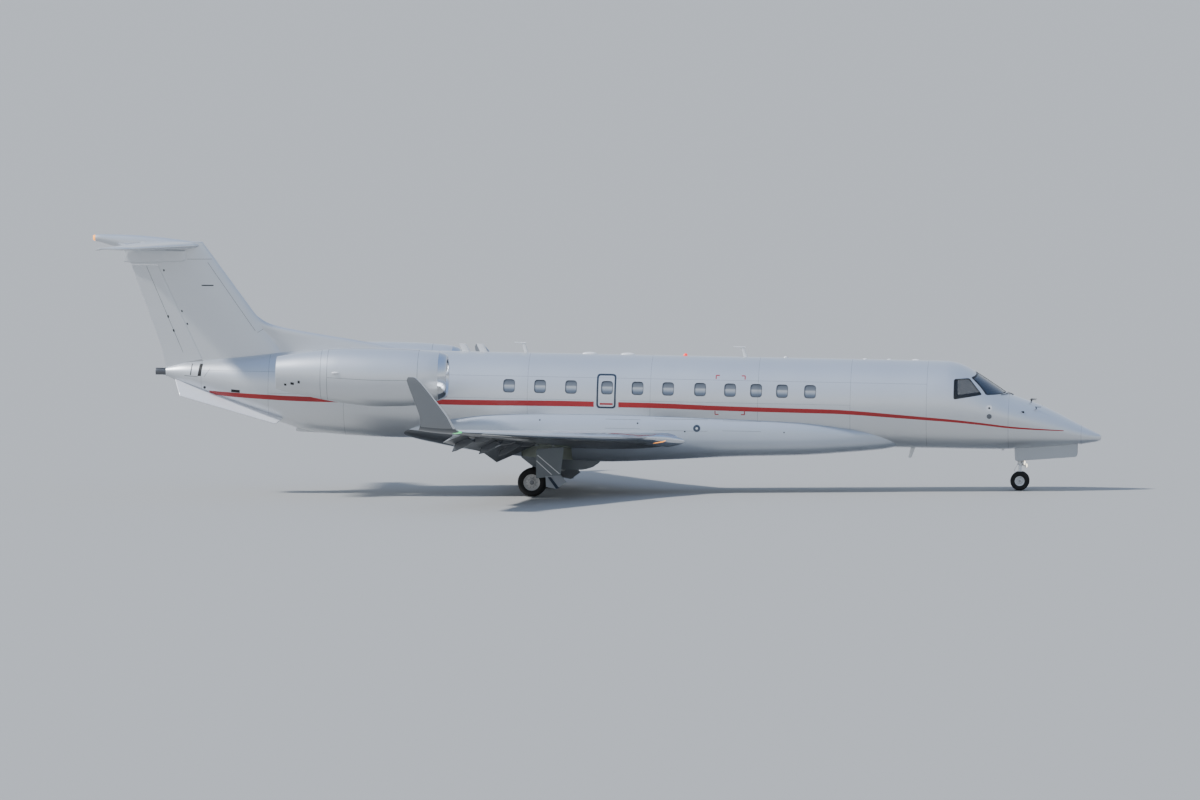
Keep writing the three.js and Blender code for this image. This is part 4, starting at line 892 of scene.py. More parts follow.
def control_surface(name, rows, low, high, step, column=1, count=8):
    """The part of a lifting body aft of a hinge line, with a round nose on that line."""
    rings = []
    for k in range(count + 1):
        value = low + (high - low) * k / count
        row = row_at(rows, value, column)
        start = step(value) if callable(step) else step
        spots = [start + (1 - start) * s / 10 for s in range(11)]
        middle, radius = foil(row, start, 0), row[4] * half_thick(start) - 2
        fore = (foil(row, 0, 0) - middle).normalized()
        side = (foil(row, start, 1) - middle).normalized()
        arc = [middle + (side * cos(pi * a / 10) + fore * sin(pi * a / 10)) * radius
               for a in range(1, 10)]
        ring = [foil(row, s, 1) for s in reversed(spots)] + arc + [foil(row, s, -1) for s in spots]
        rings.append([at(*p) for p in ring])
    return skin(name, rings)


def cut_surface(body, a, b, ra, rb, aft, half, slack=(8, 8)):
    """Cuts the room of a control surface with a round nose out of a lifting body."""
    span = (b - a).normalized()
    a, b = a - span * slack[0], b + span * slack[1]
    fore, back = Vector((-NOSE_ROOM, 0, 0)), Vector((aft, 0, 0))
    corners = [a + fore, b + fore, b + back, a + back]
    normal = (b - a).cross(back).normalized() * half
    carve(body, skin("tool", [[at(*(c + normal * face)) for c in corners] for face in (-1, 1)]))
    carve(body, bar("tool", at(*a), at(*b), (ra + HINGE_ROOM) / 1000, (rb + HINGE_ROOM) / 1000,
                    sides=32))


WING = [
    [10600, 1000, -980, 5080, 495, 2.2, 2.5], [10900, 1200, -968, 4800, 480, 2.2, 2.5],
    [11560, 1560, -950, 4170, 455, 2.2, 2.5], [12894, 3700, -857, 2960, 350, 1.4, 3],
    [14130, 6200, -722, 2200, 235, 0.2, 3.3], [15864, 9700, -510, 1130, 115, -1, 4],
]
HINGE_STEP = 0.755
INBOARD_FLAP, OUTBOARD_FLAP, AILERON = (1420, 3610), (3720, 7280), (7380, 9350)
FLAP_DROP, FLAP_DOWN = 170, 30
SPOILER = {"y": (3950, 7050), "fore": 0.63, "aft": 0.728, "thick": 34, "side": 6, "front": 21,
           "below": 23, "above": 300}
WINGLET = [
    [15864, 9700.3, -510, 1130, 115, -1, 4], [15960, 9900, -478, 1010, 104, -1, 18],
    [16030, 10080, -395, 900, 90, -1, 42], [16105, 10200, -260, 800, 76, -1, 62],
    [16190, 10270, -100, 730, 66, -1, 72], [16914, 10536, 805, 320, 26, 0, 73],
    [17020, 10550, 885, 190, 14, 0, 73], [17075, 10553, 900, 120, 8, 0, 73],
]
TRACK = {"thick": 62, "seam": 3, "fore": 620, "aft": 430, "eye": 44}

wing_rows = [row_at(WING, y) for y in
             steps_between([[row[1]] for row in WING], WING[0][1] + 0.1, WING[-1][1] - 0.1, 4)]


def turned_down(piece, a, b, degrees):
    """Turns a piece about a line in stations, its trailing edge down."""
    p, q = at(*a), at(*b)
    turn = Matrix.Rotation(radians(-degrees), 4, q - p)
    piece.data.transform(Matrix.Translation(p) @ turn @ Matrix.Translation(-p))
    return piece


def spoiler_tool(grow):
    """A block round a spoiler, or round its well where it grows."""
    y0, y1 = SPOILER["y"][0] - grow, SPOILER["y"][1] + grow
    front = SPOILER["front"] if grow else 0
    corners = [foil(row_at(WING, y), SPOILER[edge], 0) + Vector((shift, 0, SPOILER["above"]))
               for y, edge, shift in ((y0, "fore", -front), (y1, "fore", -front),
                                      (y1, "aft", grow), (y0, "aft", grow))]
    up = Vector((0, 0, SPOILER["above"]))
    return skin("tool", [[at(*(c - up)) for c in corners], [at(*(c + up)) for c in corners]])


def lowered(piece, depth):
    """A copy of a piece, set down by this many millimetres."""
    copy = twin(piece, "tool")
    copy.data.transform(Matrix.Translation((at(0, 0, -depth) - at(0, 0, 0))))
    return copy


def wing_finish(piece):
    """Silver above, and below a darker grey that is partly painted shade."""
    piece.data.materials.append(silver)
    return paint(piece, under_grey_and_painted_shade, lambda f: f.normal.z < -0.12)


wing = lifting("wing_skin_left", wing_rows)
spoiler = carve(twin(wing, "spoiler_skin_left"), spoiler_tool(0), "INTERSECT")
carve(spoiler, lowered(wing, SPOILER["thick"]))
well = spoiler_tool(SPOILER["side"])
carve(well, lowered(wing, SPOILER["thick"] + SPOILER["below"]))
carve(wing, well)
moving = {"aileron": control_surface("aileron_skin_left", WING, *AILERON, HINGE_STEP)}
a, b = (hinge_of(WING, y, HINGE_STEP) for y in AILERON)
cut_surface(wing, a[0], b[0], a[1] - 2, b[1] - 2, 1800, 500, (8, 16))
tracks = []
for flap, span_y, stations in (("inboard_flap", INBOARD_FLAP, (2900,)),
                               ("outboard_flap", OUTBOARD_FLAP, (4500, 6500))):
    (a, ra), (b, rb) = (hinge_of(WING, y, HINGE_STEP) for y in span_y)
    cut_surface(wing, a, b, ra - 2, rb - 2, 1800, 500, (58, 8))
    surface = [wing_finish(control_surface(f"{flap}_skin_left", WING, *span_y, HINGE_STEP,
                                           count=12))]
    span = (b - a).normalized()
    rear = (Vector((1, 0, 0)) - span * span.x).normalized()
    rise = (Vector((0, 0, 1)) - span * span.z)
    rise = (rise - rear * rise.dot(rear)).normalized()
    for y in stations:
        eye = a + (b - a) * (y - span_y[0]) / (span_y[1] - span_y[0]) - Vector((0, 0, FLAP_DROP))
        ring = [(cos(pi * (k / 8 - 0.5)) * TRACK["eye"], sin(pi * (k / 8 - 0.5)) * TRACK["eye"])
                for k in range(9)]
        nose = hinge_of(WING, y, HINGE_STEP)[1] + 20
        fixed = [(-TRACK["fore"], FLAP_DROP + 10), (-TRACK["fore"] * 0.78, 60),
                 (-TRACK["fore"] * 0.5, -18), (-TRACK["fore"] * 0.25, -42), *ring,
                 (-nose * 0.6, TRACK["eye"]), (-nose, FLAP_DROP)]
        aft = [*((-u, v) for u, v in ring), (60, FLAP_DROP - 20), (TRACK["aft"], FLAP_DROP - 5),
               (TRACK["aft"] + 190, 20), (TRACK["aft"] + 60, -16), (TRACK["aft"] * 0.5, -44)]
        for outline, near, far, owner in ((fixed, -TRACK["thick"], -TRACK["seam"], tracks),
                                          (aft, TRACK["seam"], TRACK["thick"], surface)):
            fairing = skin("track", [[at(*(eye + rear * u + rise * v + span * side))
                                      for u, v in outline] for side in (near, far)])
            # The track fairings take the darker grey, partly painted shade under the wing
            fairing.data.materials.append(under_grey_and_painted_shade)
            owner.append(smooth(bevelled(fairing, 0.018, 4, 50), 50))
    drop_axis = Vector((0, 0, FLAP_DROP))
    moving[flap] = turned_down(join(f"{flap}_skin_left", *surface), a - drop_axis, b - drop_axis,
                               FLAP_DOWN)
moving["spoiler"] = smooth(spoiler)
wing_finish(moving["aileron"])

# Room for the gear leg in the wing's underside, and the wells of the main wheels
LEG_ROOM = {"x": (-1440, -640), "y": (1240, 2436), "z": (1150, 1465)}
WELL = {"x": (-1930, -610), "y": (522, 1500), "z": (500, 1262)}


def ground_block(room, side=1):
    """A block that fills a room given by ground points, on this side."""
    (x0, x1), (z0, z1) = room["x"], room["z"]
    return skin("tool", [[ground(x, y, z) for x, z in ((x0, z0), (x1, z0), (x1, z1), (x0, z1))]
                         for y in sorted(side * y for y in room["y"])])


carve(wing, ground_block(LEG_ROOM))
wing_finish(wing)
paint(wing, primer, lambda f: -1.42 < f.center.x - SHIFT_X / 1000 < -0.62 and f.center.z < 1.468
      and 1.23 < f.center.y < 2.44 and (f.center.z > 1.46 or abs(f.normal.z) < 0.1))
wing = join("wing_skin_left", smooth(wing), *tracks)

# Leading edge: bare polished metal, wrapped over the nose of the section
NOSE_STEPS = [0.052, 0.036, 0.022, 0.011, 0.004, 0.001]
LENS_STEPS = [0.16, 0.12, 0.08, 0.045, 0.02, 0.005]


def edge_wrap(name, rows, grow=1.5, steps=NOSE_STEPS, thick=0.002):
    points = [[at(*foil(row, *spot, grow)) for spot in round_nose(steps)] for row in rows]
    middle = rows[len(rows) // 2]
    return sheet(name, points, at(*foil(middle, 0.3, 0)), thick, 60)


edge = edge_wrap("wing_leading_edge_left", [row for row in wing_rows if row[1] < 9670])
winglet_rows = bent(WINGLET)
winglet = lifting("winglet_skin_left", winglet_rows)
winglet.data.materials.append(grey)
# The winglet's lower faces take the darker grey, partly painted shade under the wing tip
paint(winglet, under_grey_and_painted_shade, lambda f: f.normal.z < -0.72)
winglet_edge = edge_wrap("winglet_leading_edge_left", winglet_rows[12:])
nav_lens = edge_wrap("nav_lens_left", winglet_rows[1:6], 3.0, LENS_STEPS)
ROOT = [[10730, 1150, -1032, 4900, 400, 2.2, 2.5], [10790, 1215, -1028, 4850, 400, 2.2, 2.5],
        [10960, 1300, -1000, 4660, 430, 2.2, 2.5], [11250, 1410, -962, 4420, 455, 2.2, 2.5],
        [11568, 1560, -950, 4160, 455, 2.2, 2.5]]
root_rows = bent(ROOT, 4)
rows = [row_at(root_rows, y) for y in (1404, 1420, 1436, 1452, 1468)]
landing_lens = sheet("landing_lens_left", [[at(*foil(row, s + 0.007 * k, -1, 4))
                                            for s in (0.004, 0.008, 0.012, 0.016, 0.02)]
                                           for k, row in enumerate(rows)],
                     at(*foil(rows[2], 0.3, 0)))
cuff = skin("wing_root_cuff_left", [[at(*foil(row, *spot)) for spot in
                                     round_nose([0.09, *NOSE_STEPS])] for row in root_rows],
            angle=60)
dress_pair(wing, "wing_skin", "airframe", silver, "wing")
dress_pair(winglet, "winglet_skin", "airframe", grey, "winglet", "grey_paint")
dress_pair(edge, "wing_leading_edge", "airframe", polished)
dress_pair(winglet_edge, "winglet_leading_edge", "airframe", polished)
dress_pair(landing_lens, "landing_lens", "airframe", lamps["amber"])
dress_pair(cuff, "wing_root_cuff", "airframe", polished)
for name in ("aileron", "inboard_flap", "outboard_flap", "spoiler"):
    dress_pair(moving[name], f"{name}_skin", name, silver, name)
for word, side in SIDES:
    dress(on_side(nav_lens, side, f"nav_lens_{word}"), "airframe",
          lamps["red" if side > 0 else "green"], slot="window_glass")
drop(nav_lens)

# Belly fairing: station, middle waterline, half width, rise, drop
BELLY_POWER = 2.6
BELLY_SHADE_FS = 16900            # aft of this its underside is painted darker, as painted shade
BELLY = [
    [5050, -830, 420, 150, 230], [5700, -850, 760, 250, 345], [6500, -880, 1010, 420, 400],
    [7800, -900, 1150, 640, 488], [9500, -900, 1200, 700, 560], [11500, -900, 1230, 760, 690],
    [13000, -900, 1240, 780, 760], [14500, -900, 1235, 760, 712], [15900, -900, 1190, 690, 586],
    [16700, -890, 1100, 560, 490], [17400, -880, 950, 400, 372], [17900, -870, 760, 250, 280],
    [18350, -850, 520, 120, 170],
]


def bend(value):
    """Rounds a sine or cosine to the fairing's squarer section."""
    return (1 if value > 0 else -1) * abs(value) ** (2 / BELLY_POWER)


rings = []
for fs in steps_between(BELLY, BELLY[0][0], BELLY[-1][0], 5):
    _, middle, half, rise, fall = curve(BELLY, fs)
    rings.append([at(fs, half * bend(sin(t)),
                     middle + (rise if cos(t) > 0 else fall) * bend(cos(t)))
                  for t in circle(96)])
belly = skin("belly_fairing_skin", rings)
for word, side in SIDES:
    carve(belly, ground_block(WELL, side))
# The fairing's bluish silver is painted reflection of the sky
dress(smooth(belly), "airframe", fairing_silver_with_painted_sky, "belly_fairing")
# Aft of the wing the fairing's underside is painted darker: painted shade for the wing's shadow
paint(belly, under_grey_and_painted_shade, lambda f: f.normal.z < -0.1 and station(f.center)[0] > BELLY_SHADE_FS)
paint(belly, primer, lambda f: WELL["x"][0] - 2 < f.center.x * 1000 - SHIFT_X < WELL["x"][1] + 2
      and (f.center.z > 1.259 and f.normal.z < -0.9 or abs(f.normal.x) > 0.99
           or abs(abs(f.center.y) - 0.522) < 0.003))

# Tail: fin with its dorsal fillet, rudder, tailplane, bullet and pivot fairing
FIN = [[21069, 0, 600, 3318, 310, 0, 90], [23434, 0, 3700, 2165, 215, 0, 90]]
DORSAL = [[17900, 0, 900, 4900, 190, 0, 90], [18250, 0, 1130, 4600, 165, 0, 90],
          [19400, 0, 1362, 3500, 150, 0, 90], [20177, 0, 1473, 2750, 145, 0, 90],
          [20966, 0, 1594, 2000, 140, 0, 90], [21400, 0, 1668, 1600, 140, 0, 90],
          [21703, 0, 1744, 1350, 140, 0, 90], [21930, 0, 1842, 1200, 140, 0, 90],
          [22120, 0, 1985, 1050, 150, 0, 90], [22330, 0, 2240, 900, 160, 0, 90]]
RUDDER = ((23560, 860), (24740, 3235))


def rudder_step(wl):
    """The rudder's hinge at a waterline, as a step along the fin's chord."""
    row = row_at(FIN, wl, 2)
    (f0, w0), (f1, w1) = RUDDER
    return (f0 + (f1 - f0) * (wl - w0) / (w1 - w0) - row[0]) / row[3]


fin_rows = [row_at(FIN, 600 + 3238 * k / 12, 2) for k in range(13)]
top = fin_rows[-1]
fin_rows += [[top[0] + in_, 0, top[2] + rise, top[3] - 2 * in_, top[4] - in_, 0, 90]
             for in_, rise in ((4, 14), (16, 25), (40, 30))]
fin = carve(lifting("fin_skin", fin_rows), lifting("tool", bent(DORSAL, 4)), "UNION")
ends = [Vector((fs, 0, wl)) for fs, wl in RUDDER]
radii = [row_at(FIN, wl, 2)[4] * half_thick(rudder_step(wl)) - 2 for _, wl in RUDDER]
cut_surface(fin, *ends, *radii, 1500, 400, (500, 18))
CRADLE = [[23900, 60, 3430, 3640], [24080, 150, 3340, 3645], [24900, 168, 3310, 3650],
          [25480, 150, 3290, 3650], [25600, 120, 3300, 3650]]
cradle_rings = []
for fs in steps_between(CRADLE, 23900, 25600, 4):
    _, half, low, high = curve(CRADLE, fs)
    outline = rounded([(-half, low), (half, low), (half, high), (-half, high)], 42, 5)
    cradle_rings.append([at(fs, p[0], p[1]) for p in outline])
cradle = smooth(bevelled(skin("cradle", cradle_rings), 0.012, 3, 60))
dress(join("fin_skin", smooth(fin), cradle), "airframe", silver, "fin")
# The rudder's foot slopes down aft, so the rows below the bend are drawn down with it
RUDDER_FOOT, FOOT_BEND, FOOT_SLOPE = 798, 1150, 0.21
rudder = control_surface("rudder_skin", FIN, RUDDER_FOOT, RUDDER[1][1], rudder_step, 2, 16)
for v in rudder.data.vertices:
    fs, y, wl = station(v.co)
    if wl < FOOT_BEND:
        aft = fs - (RUDDER[0][0] - 0.497 * (RUDDER[0][1] - wl))
        v.co = at(fs, y, wl - (FOOT_BEND - wl) / (FOOT_BEND - RUDDER_FOOT)
                  * FOOT_SLOPE * max(0, aft))
dress(smooth(rudder), "rudder", silver, "rudder")

TAILPLANE = [[23600, 0, 3765, 2160, 220, 0, 0], [23690, 150, 3765, 2085, 212, 0, 0],
             [25060, 3650, 3765, 870, 88, 0, 0], [25140, 3740, 3765, 770, 60, 0, 0],
             [25250, 3775, 3765, 600, 30, 0, 0]]
ELEVATOR = {"y": (190, 3560), "step": 0.69, "droop": 9}
rows = [TAILPLANE[0]] + [row_at(TAILPLANE, 150 + 3500 * k / 10) for k in range(10)] + TAILPLANE[2:]
half_tail = lifting("tailplane_skin_left", rows)
(a, ra), (b, rb) = (hinge_of(TAILPLANE, y, ELEVATOR["step"]) for y in ELEVATOR["y"])
cut_surface(half_tail, a, b, ra - 2, rb - 2, 1200, 300)
elevator = turned_down(control_surface("elevator_skin_left", TAILPLANE, *ELEVATOR["y"],
                                       ELEVATOR["step"]), a, b, ELEVATOR["droop"])
tail_edge = edge_wrap("tailplane_leading_edge_left", [row_at(TAILPLANE, 260 + 3370 * k / 12)
                                                      for k in range(13)])
other = mirrored(half_tail, "part")
dress(join("tailplane_skin", smooth(half_tail), other), "airframe", silver, "tailplane")
dress_pair(elevator, "elevator_skin", "elevator", silver, "elevator")
dress_pair(tail_edge, "tailplane_leading_edge", "airframe", polished)

BULLET = [[23560, 3820, 3770, 22], [23760, 3862, 3690, 75], [24015, 3895, 3640, 108],
          [24821, 3975, 3600, 125], [25345, 4006, 3615, 125], [25800, 4013, 3690, 112],
          [26216, 4014, 3800, 96], [26400, 3996, 3842, 78], [26430, 3980, 3862, 50]]
LENS_FS = 26372                  # where the tail lamp's lens begins


def bullet_rings(low, high):
    rings = []
    for fs in steps_between(BULLET, low, high, 4):
        _, top, bottom, half = curve(BULLET, fs)
        rings.append([at(fs, half * sin(t), (top + bottom) / 2 + (top - bottom) / 2 * cos(t))
                      for t in circle(48)])
    return rings


dress(skin("bullet_skin", bullet_rings(BULLET[0][0], LENS_FS)), "airframe", silver,
      "bullet_fairing")
dress(skin("tail_lens", bullet_rings(LENS_FS + 1, BULLET[-1][0])), "airframe", lamps["amber"],
      slot="window_glass")

# Strakes, canted out under the tail
STRAKE = [(21150, 330, -560), (21510, 640, -830), (24040, 520, -150), (24215, 120, 270)]
corners = [Vector(c) for c in STRAKE]
normal = (corners[1] - corners[0]).cross(corners[3] - corners[0]).normalized() * 14
strake = skin("strake", [[at(*(c + normal * face)) for c in corners] for face in (-1, 1)])
dress_pair(bevelled(strake, 0.012, 4), "strake_skin", "airframe", pale, "ventral_strake",
           "pale_paint")


def turned(name, profile, centre, axis, sides=64, angle=35):
    """A body turned about an axis from rows of [radius, height along the axis], in millimetres."""
    axis = Vector(axis).normalized()
    u = axis.orthogonal().normalized()
    v = axis.cross(u)
    rings = [[centre + (axis * h + (u * cos(t) + v * sin(t)) * r) / 1000
              for t in circle(sides)] for r, h in profile]
    return skin(name, rings, angle=angle)


FORWARD = at(0, 0, 0) - at(1000, 0, 0)

# Exhaust of the auxiliary power unit: a thin titanium pipe
PIPE = [(92, -2), (92, 262), (89, 272), (85, 274), (84, 268), (84, 0), (84, -2)]
dress(turned("apu_pipe", PIPE, at(HULL_END, 0, 462), -FORWARD, 48), "airframe", titanium,
      "apu_exhaust", slot="dark_steel")

# Nacelles: station, middle waterline, radius; the outside, then the duct
NACELLE_Y = 2100
OUTSIDE = [[16990, 572, 586], [17142, 562, 634], [17458, 530, 700], [18089, 515, 745],
           [18721, 508, 757], [19666, 535, 706], [20248, 552, 628], [20800, 566, 535],
           [21340, 570, 432]]
LIP = [[17120, 563, 628], [17060, 567, 610], [16990, 572, 586], [16950, 574, 566],
       [16925, 575, 550], [16908, 575, 535], [16905, 575, 522], [16915, 575, 509],
       [16935, 575, 502], [16970, 574, 496], [17040, 573, 490], [17120, 571, 486]]
DUCT = [[17120, 571, 486], [17160, 570, 484], [17500, 562, 500], [17900, 560, 522],
        [18300, 560, 520], [20200, 555, 520], [20900, 568, 470], [21350, 570, 418]]


def tube_ring(fs, wl, radius):
    return [at(fs, NACELLE_Y + radius * sin(t), wl + radius * cos(t)) for t in circle(72)]


outside = [curve(OUTSIDE, fs) for fs in steps_between(OUTSIDE, 17121, 21340, 4)]
duct = [curve(DUCT, fs) for fs in steps_between(DUCT, 17121, 21350, 3)]
nacelle = skin("nacelle", [tube_ring(*r) for r in (*outside, *reversed(duct), outside[0])])
lip = skin("lip", [tube_ring(*r) for r in (*LIP, LIP[0])], angle=60)
PYLON = [[17850, 700, 500, 3100, 250, 0, 0], [17950, 1500, 520, 2950, 230, 0, 0],
         [18000, 1900, 540, 2900, 225, 0, 0]]
pylon = lifting("pylon", PYLON)

# Engine behind the fan: casing, tail cone and struts
FAN = {"fs": 17960, "wl": 560, "tip": 512, "hub": 165, "blades": 22}
STRUT = {"fs": 18870, "chord": 260, "thick": 40, "reach": (300, 528)}
CORE = [(0, -1170), (30, -1165), (60, -1150), (140, -950), (210, -760), (290, -690), (330, -640),
        (342, -300), (350, 400), (345, 750), (330, 1000), (190, 1300), (150, 1340), (0, 1340)]
middle = at(19390, NACELLE_Y, FAN["wl"])
core = [turned("core", CORE, middle, FORWARD)]
for k in range(4):
    turn = pi * k / 2 + pi / 4
    out = Vector((0, sin(turn), cos(turn)))
    across = Vector((0, cos(turn), -sin(turn)))
    foot = Vector((STRUT["fs"], NACELLE_Y, FAN["wl"]))
    core.append(skin("strut", [[at(*(foot + Vector((STRUT["chord"] * s, 0, 0)) + out * reach
                                     + across * f * STRUT["thick"] * half_thick(s)))
                                for s, f in section(SPACING)] for reach in STRUT["reach"]]))
core = join("core", *core)

# Fan: twisted blades on a pointed spinner
rings = []
for k in range(9):
    t = k / 8
    radius = FAN["hub"] - 15 + (FAN["tip"] - FAN["hub"] + 15) * t
    angle, wide = radians(28 + 34 * t), 118 + 26 * t
    ring = []
    for s, f in round_nose((1, 0.8, 0.6, 0.4, 0.2, 0.07))[:-1]:
        along = (s - 0.5) * wide
        thick = f * (9 - 4 * t) * half_thick(s) * 1.4 + 10 * (s - 0.5) ** 2
        aft = along * cos(angle) - thick * sin(angle)
        around = along * sin(angle) + thick * cos(angle)
        ring.append(Vector((aft, around, radius)))
    rings.append([at(FAN["fs"] + p.x, NACELLE_Y + p.y, FAN["wl"] + p.z) for p in ring])
blade = skin("blade", rings)
centre = at(FAN["fs"], NACELLE_Y, FAN["wl"])
blades = [blade]
for turn in circle(FAN["blades"])[1:]:
    copy = twin(blade, "blade")
    copy.data.transform(Matrix.Translation(centre) @ Matrix.Rotation(turn, 4, FORWARD)
                        @ Matrix.Translation(-centre))
    blades.append(copy)
blades = join("blades", *blades)
spinner = turned("spinner", [(0, -64), (160, -64), (165, -55), (165, 60), (150, 110), (126, 165),
                             (92, 222), (50, 272), (18, 294), (0, 298)], centre, FORWARD, 48)
dress_pair(nacelle, "cowl", "airframe", silver, "nacelle")
dress_pair(lip, "inlet_lip", "airframe", polished)
dress_pair(pylon, "pylon_skin", "airframe", silver, "pylon")
dress_pair(core, "engine_casing", "airframe", burnt, "engine_core", "dark_steel")
dress_pair(blades, "fan_blades", "fan", titanium, "fan", "titanium")
dress_pair(spinner, "fan_spinner", "fan", dark_trim_and_slot_shade, slot="titanium")


# Landing gear: ground points are [x, z]
NOSE_TYRE = {"radius": 246, "half": 84, "rim": 118, "y": 165}
MAIN_TYRE = {"radius": 368, "half": 118, "rim": 205, "y": 200}


def wheel(tyre, centre, side):
    """A tyre with grooves in its tread, and its hub with a dished face on its outer side."""
    r, w, rim = tyre["radius"], tyre["half"], tyre["rim"]
    tread = []
    for k in (-1.5, -0.5, 0.5, 1.5):
        y = k * w * 0.26
        tread += [(r, y - 6), (r - 7, y - 4), (r - 7, y + 4), (r, y + 6)]
    profile = [(rim - 4, -w * 0.5), (rim, -w * 0.72), (rim + 14, -w * 0.8), (r * 0.68, -w * 0.93),
               (r * 0.78, -w), (r * 0.88, -w * 0.97), (r * 0.945, -w * 0.84),
               (r * 0.985, -w * 0.62), *tread, (r * 0.985, w * 0.62), (r * 0.945, w * 0.84),
               (r * 0.88, w * 0.97), (r * 0.78, w), (r * 0.68, w * 0.93), (rim + 14, w * 0.8),
               (rim, w * 0.72), (rim - 4, w * 0.5)]
    axis = Vector((0, side, 0))
    rubber_ring = turned("tyre", [*profile, profile[0]], centre, axis, 72, angle=28)
    hub = turned("hub", [(0, -w * 0.3), (rim * 0.5, -w * 0.3), (rim * 0.6, -w * 0.5),
                         (rim - 5, -w * 0.5), (rim - 1, -w * 0.68), (rim + 8, -w * 0.76),
                         (rim + 8, -w * 0.79), (rim - 4, -w * 0.74), (rim - 16, -w * 0.4),
                         (rim - 16, w * 0.4), (rim - 4, w * 0.74), (rim + 8, w * 0.79),
                         (rim + 8, w * 0.76), (rim - 1, w * 0.64), (rim * 0.86, w * 0.42),
                         (rim * 0.74, w * 0.2), (rim * 0.56, w * 0.24), (rim * 0.44, w * 0.5),
                         (rim * 0.4, w * 0.7), (rim * 0.36, w * 0.76), (0, w * 0.76)],
                 centre, axis, 48, angle=28)
    cap = turned("cap", [(0, 0), (rim * 0.3, 0), (rim * 0.3, w * 0.78), (rim * 0.26, w * 0.84),
                         (rim * 0.12, w * 0.86), (0, w * 0.86)], centre, axis, 32)
    bolts = []
    for t in circle(10):
        spot = centre + Vector((cos(t), 0, sin(t))) * rim * 0.64 / 1000
        bolts.append(bar("bolt", spot + axis * w * 0.2 / 1000, spot + axis * (w * 0.2 + 22) / 1000,
                         rim * 0.05 / 1000, sides=6))
    return rubber_ring, join("hub", hub), join("cap", cap, *bolts)


def wheel_pair(name, tyre, centre, body, node, brakes):
    rubbers, hubs, caps = [], [], []
    for side in (-1, 1):
        spot = centre + Vector((0, side * tyre["y"] / 1000, 0))
        for made, pile in zip(wheel(tyre, spot, side), (rubbers, hubs, caps)):
            pile.append(made)
    reach = tyre["y"] / 1000
    hubs.append(bar("axle", centre - Vector((0, reach, 0)), centre + Vector((0, reach, 0)),
                    0.041 if brakes else 0.029, sides=32))
    dress(join(f"{name}_tyres", *rubbers), body, rubber, node, slot="tyre_rubber")
    dress(join(f"{name}_hubs", *hubs), body, cast if brakes else white, slot="tyre_rubber")
    dress(join(f"{name}_hub_caps", *caps), body, titanium if brakes else steel, slot="tyre_rubber")


nose_axle = ground(11000, 0, NOSE_TYRE["radius"])
wheel_pair("nose_wheel", NOSE_TYRE, nose_axle, "nose_wheels", "nose_wheels", False)
MAIN_Y = 2050
AXLE, PIVOT = (-1558, MAIN_TYRE["radius"]), (-1080, 520)
for word, side in SIDES:
    wheel_pair(f"main_wheel_{word}", MAIN_TYRE, ground(AXLE[0], MAIN_Y * side, AXLE[1]),
               f"main_wheels_{word}", f"main_wheels_{word}", True)

# Nose leg, in stations: its foot is the axle
down = (at(0, 0, 0) - at(0, 0, 1000))
offset = nose_axle - at(0, 0, 0)
LEG_FS = -1000 * (offset.x * cos(PITCH) - offset.z * sin(PITCH))
AXLE_WL = 1000 * (offset.x * sin(PITCH) + offset.z * cos(PITCH))
LEG_END, CLAMP_WL, ROOF = -1480, -1175, BAY["roof"]


def leg(wl, fs=0, y=0):
    return at(LEG_FS + fs, y, wl)


cylinder = turned("cylinder", [(0, 0), (70, 0), (70, 40), (58, 60), (58, 420), (68, 430),
                               (68, 470), (58, 480), (58, 790), (64, 800), (64, 856), (0, 856)],
                  leg(ROOF - 3), down, 40)
carve(cylinder, bar("tool", leg(LEG_END + 262), leg(LEG_END - 60), 0.0455, sides=40))
fixed = [smooth(cylinder),
         bar("brace", leg(ROOF - 50, -600, 45), leg(CLAMP_WL, -50, 22), 0.018, 0.016),
         bar("brace", leg(ROOF - 50, -600, -45), leg(CLAMP_WL, -50, -22), 0.018, 0.016),
         bar("brace", leg(-795, -380, -55), leg(-795, -380, 55), 0.014),
         block("mount", (LEG_FS - 60, LEG_FS + 60), (-150, 150), (ROOF - 90, ROOF - 3), 12),
         bar("clamp", leg(CLAMP_WL, -72, -40), leg(CLAMP_WL, -72, 40), 0.022)]
dress(join("nose_leg_cylinder", *fixed), "airframe", white, "nose_leg", slot="gear_enamel")
hoses = [tube("hose", (leg(-700, 40, y), leg(-1050, 66, y), leg(-1300, 62, y * 0.9),
                       leg(-1462, 58, y * 0.6)), 0.007) for y in (-46, 46)]
dress(join("nose_leg_hoses", *hoses), "airframe", sealant_and_hole_shade, slot="tyre_rubber")

piston = bar("piston", leg(LEG_END + 250), leg(AXLE_WL + 20), 0.042, sides=40)
dress(piston, "nose_steering", polished, "nose_steering_leg", slot="polished_steel")
fork_half = NOSE_TYRE["y"] - NOSE_TYRE["half"] - 12
collar = turned("collar", [(45, 0), (80, 0), (80, 8), (72, 14), (72, 42), (80, 50), (45, 52),
                           (45, 0)], leg(LEG_END - 8), down, 40)
knee = (LEG_END - 190, 150)
links = []
for end_wl, end_fs in ((LEG_END - 36, 62), (AXLE_WL + 42, 44)):
    for y in (-26, 26):
        link = skin("link", [[at(LEG_FS + f, y + d, w) for f, w in
                              ((end_fs, end_wl - 16), (end_fs, end_wl + 16), (knee[1], knee[0] + 9),
                               (knee[1], knee[0] - 9))] for d in (-7, 7)])
        links.append(bevelled(link, 0.004))
links.append(bar("pin", leg(knee[0], knee[1] - 4, -38), leg(knee[0], knee[1] - 4, 38), 0.012))
yoke = bar("yoke", leg(AXLE_WL, 0, -fork_half), leg(AXLE_WL, 0, fork_half), 0.052, bevel=0.006)
carve(yoke, bar("tool", leg(AXLE_WL, 0, -200), leg(AXLE_WL, 0, 200), 0.031, sides=32))
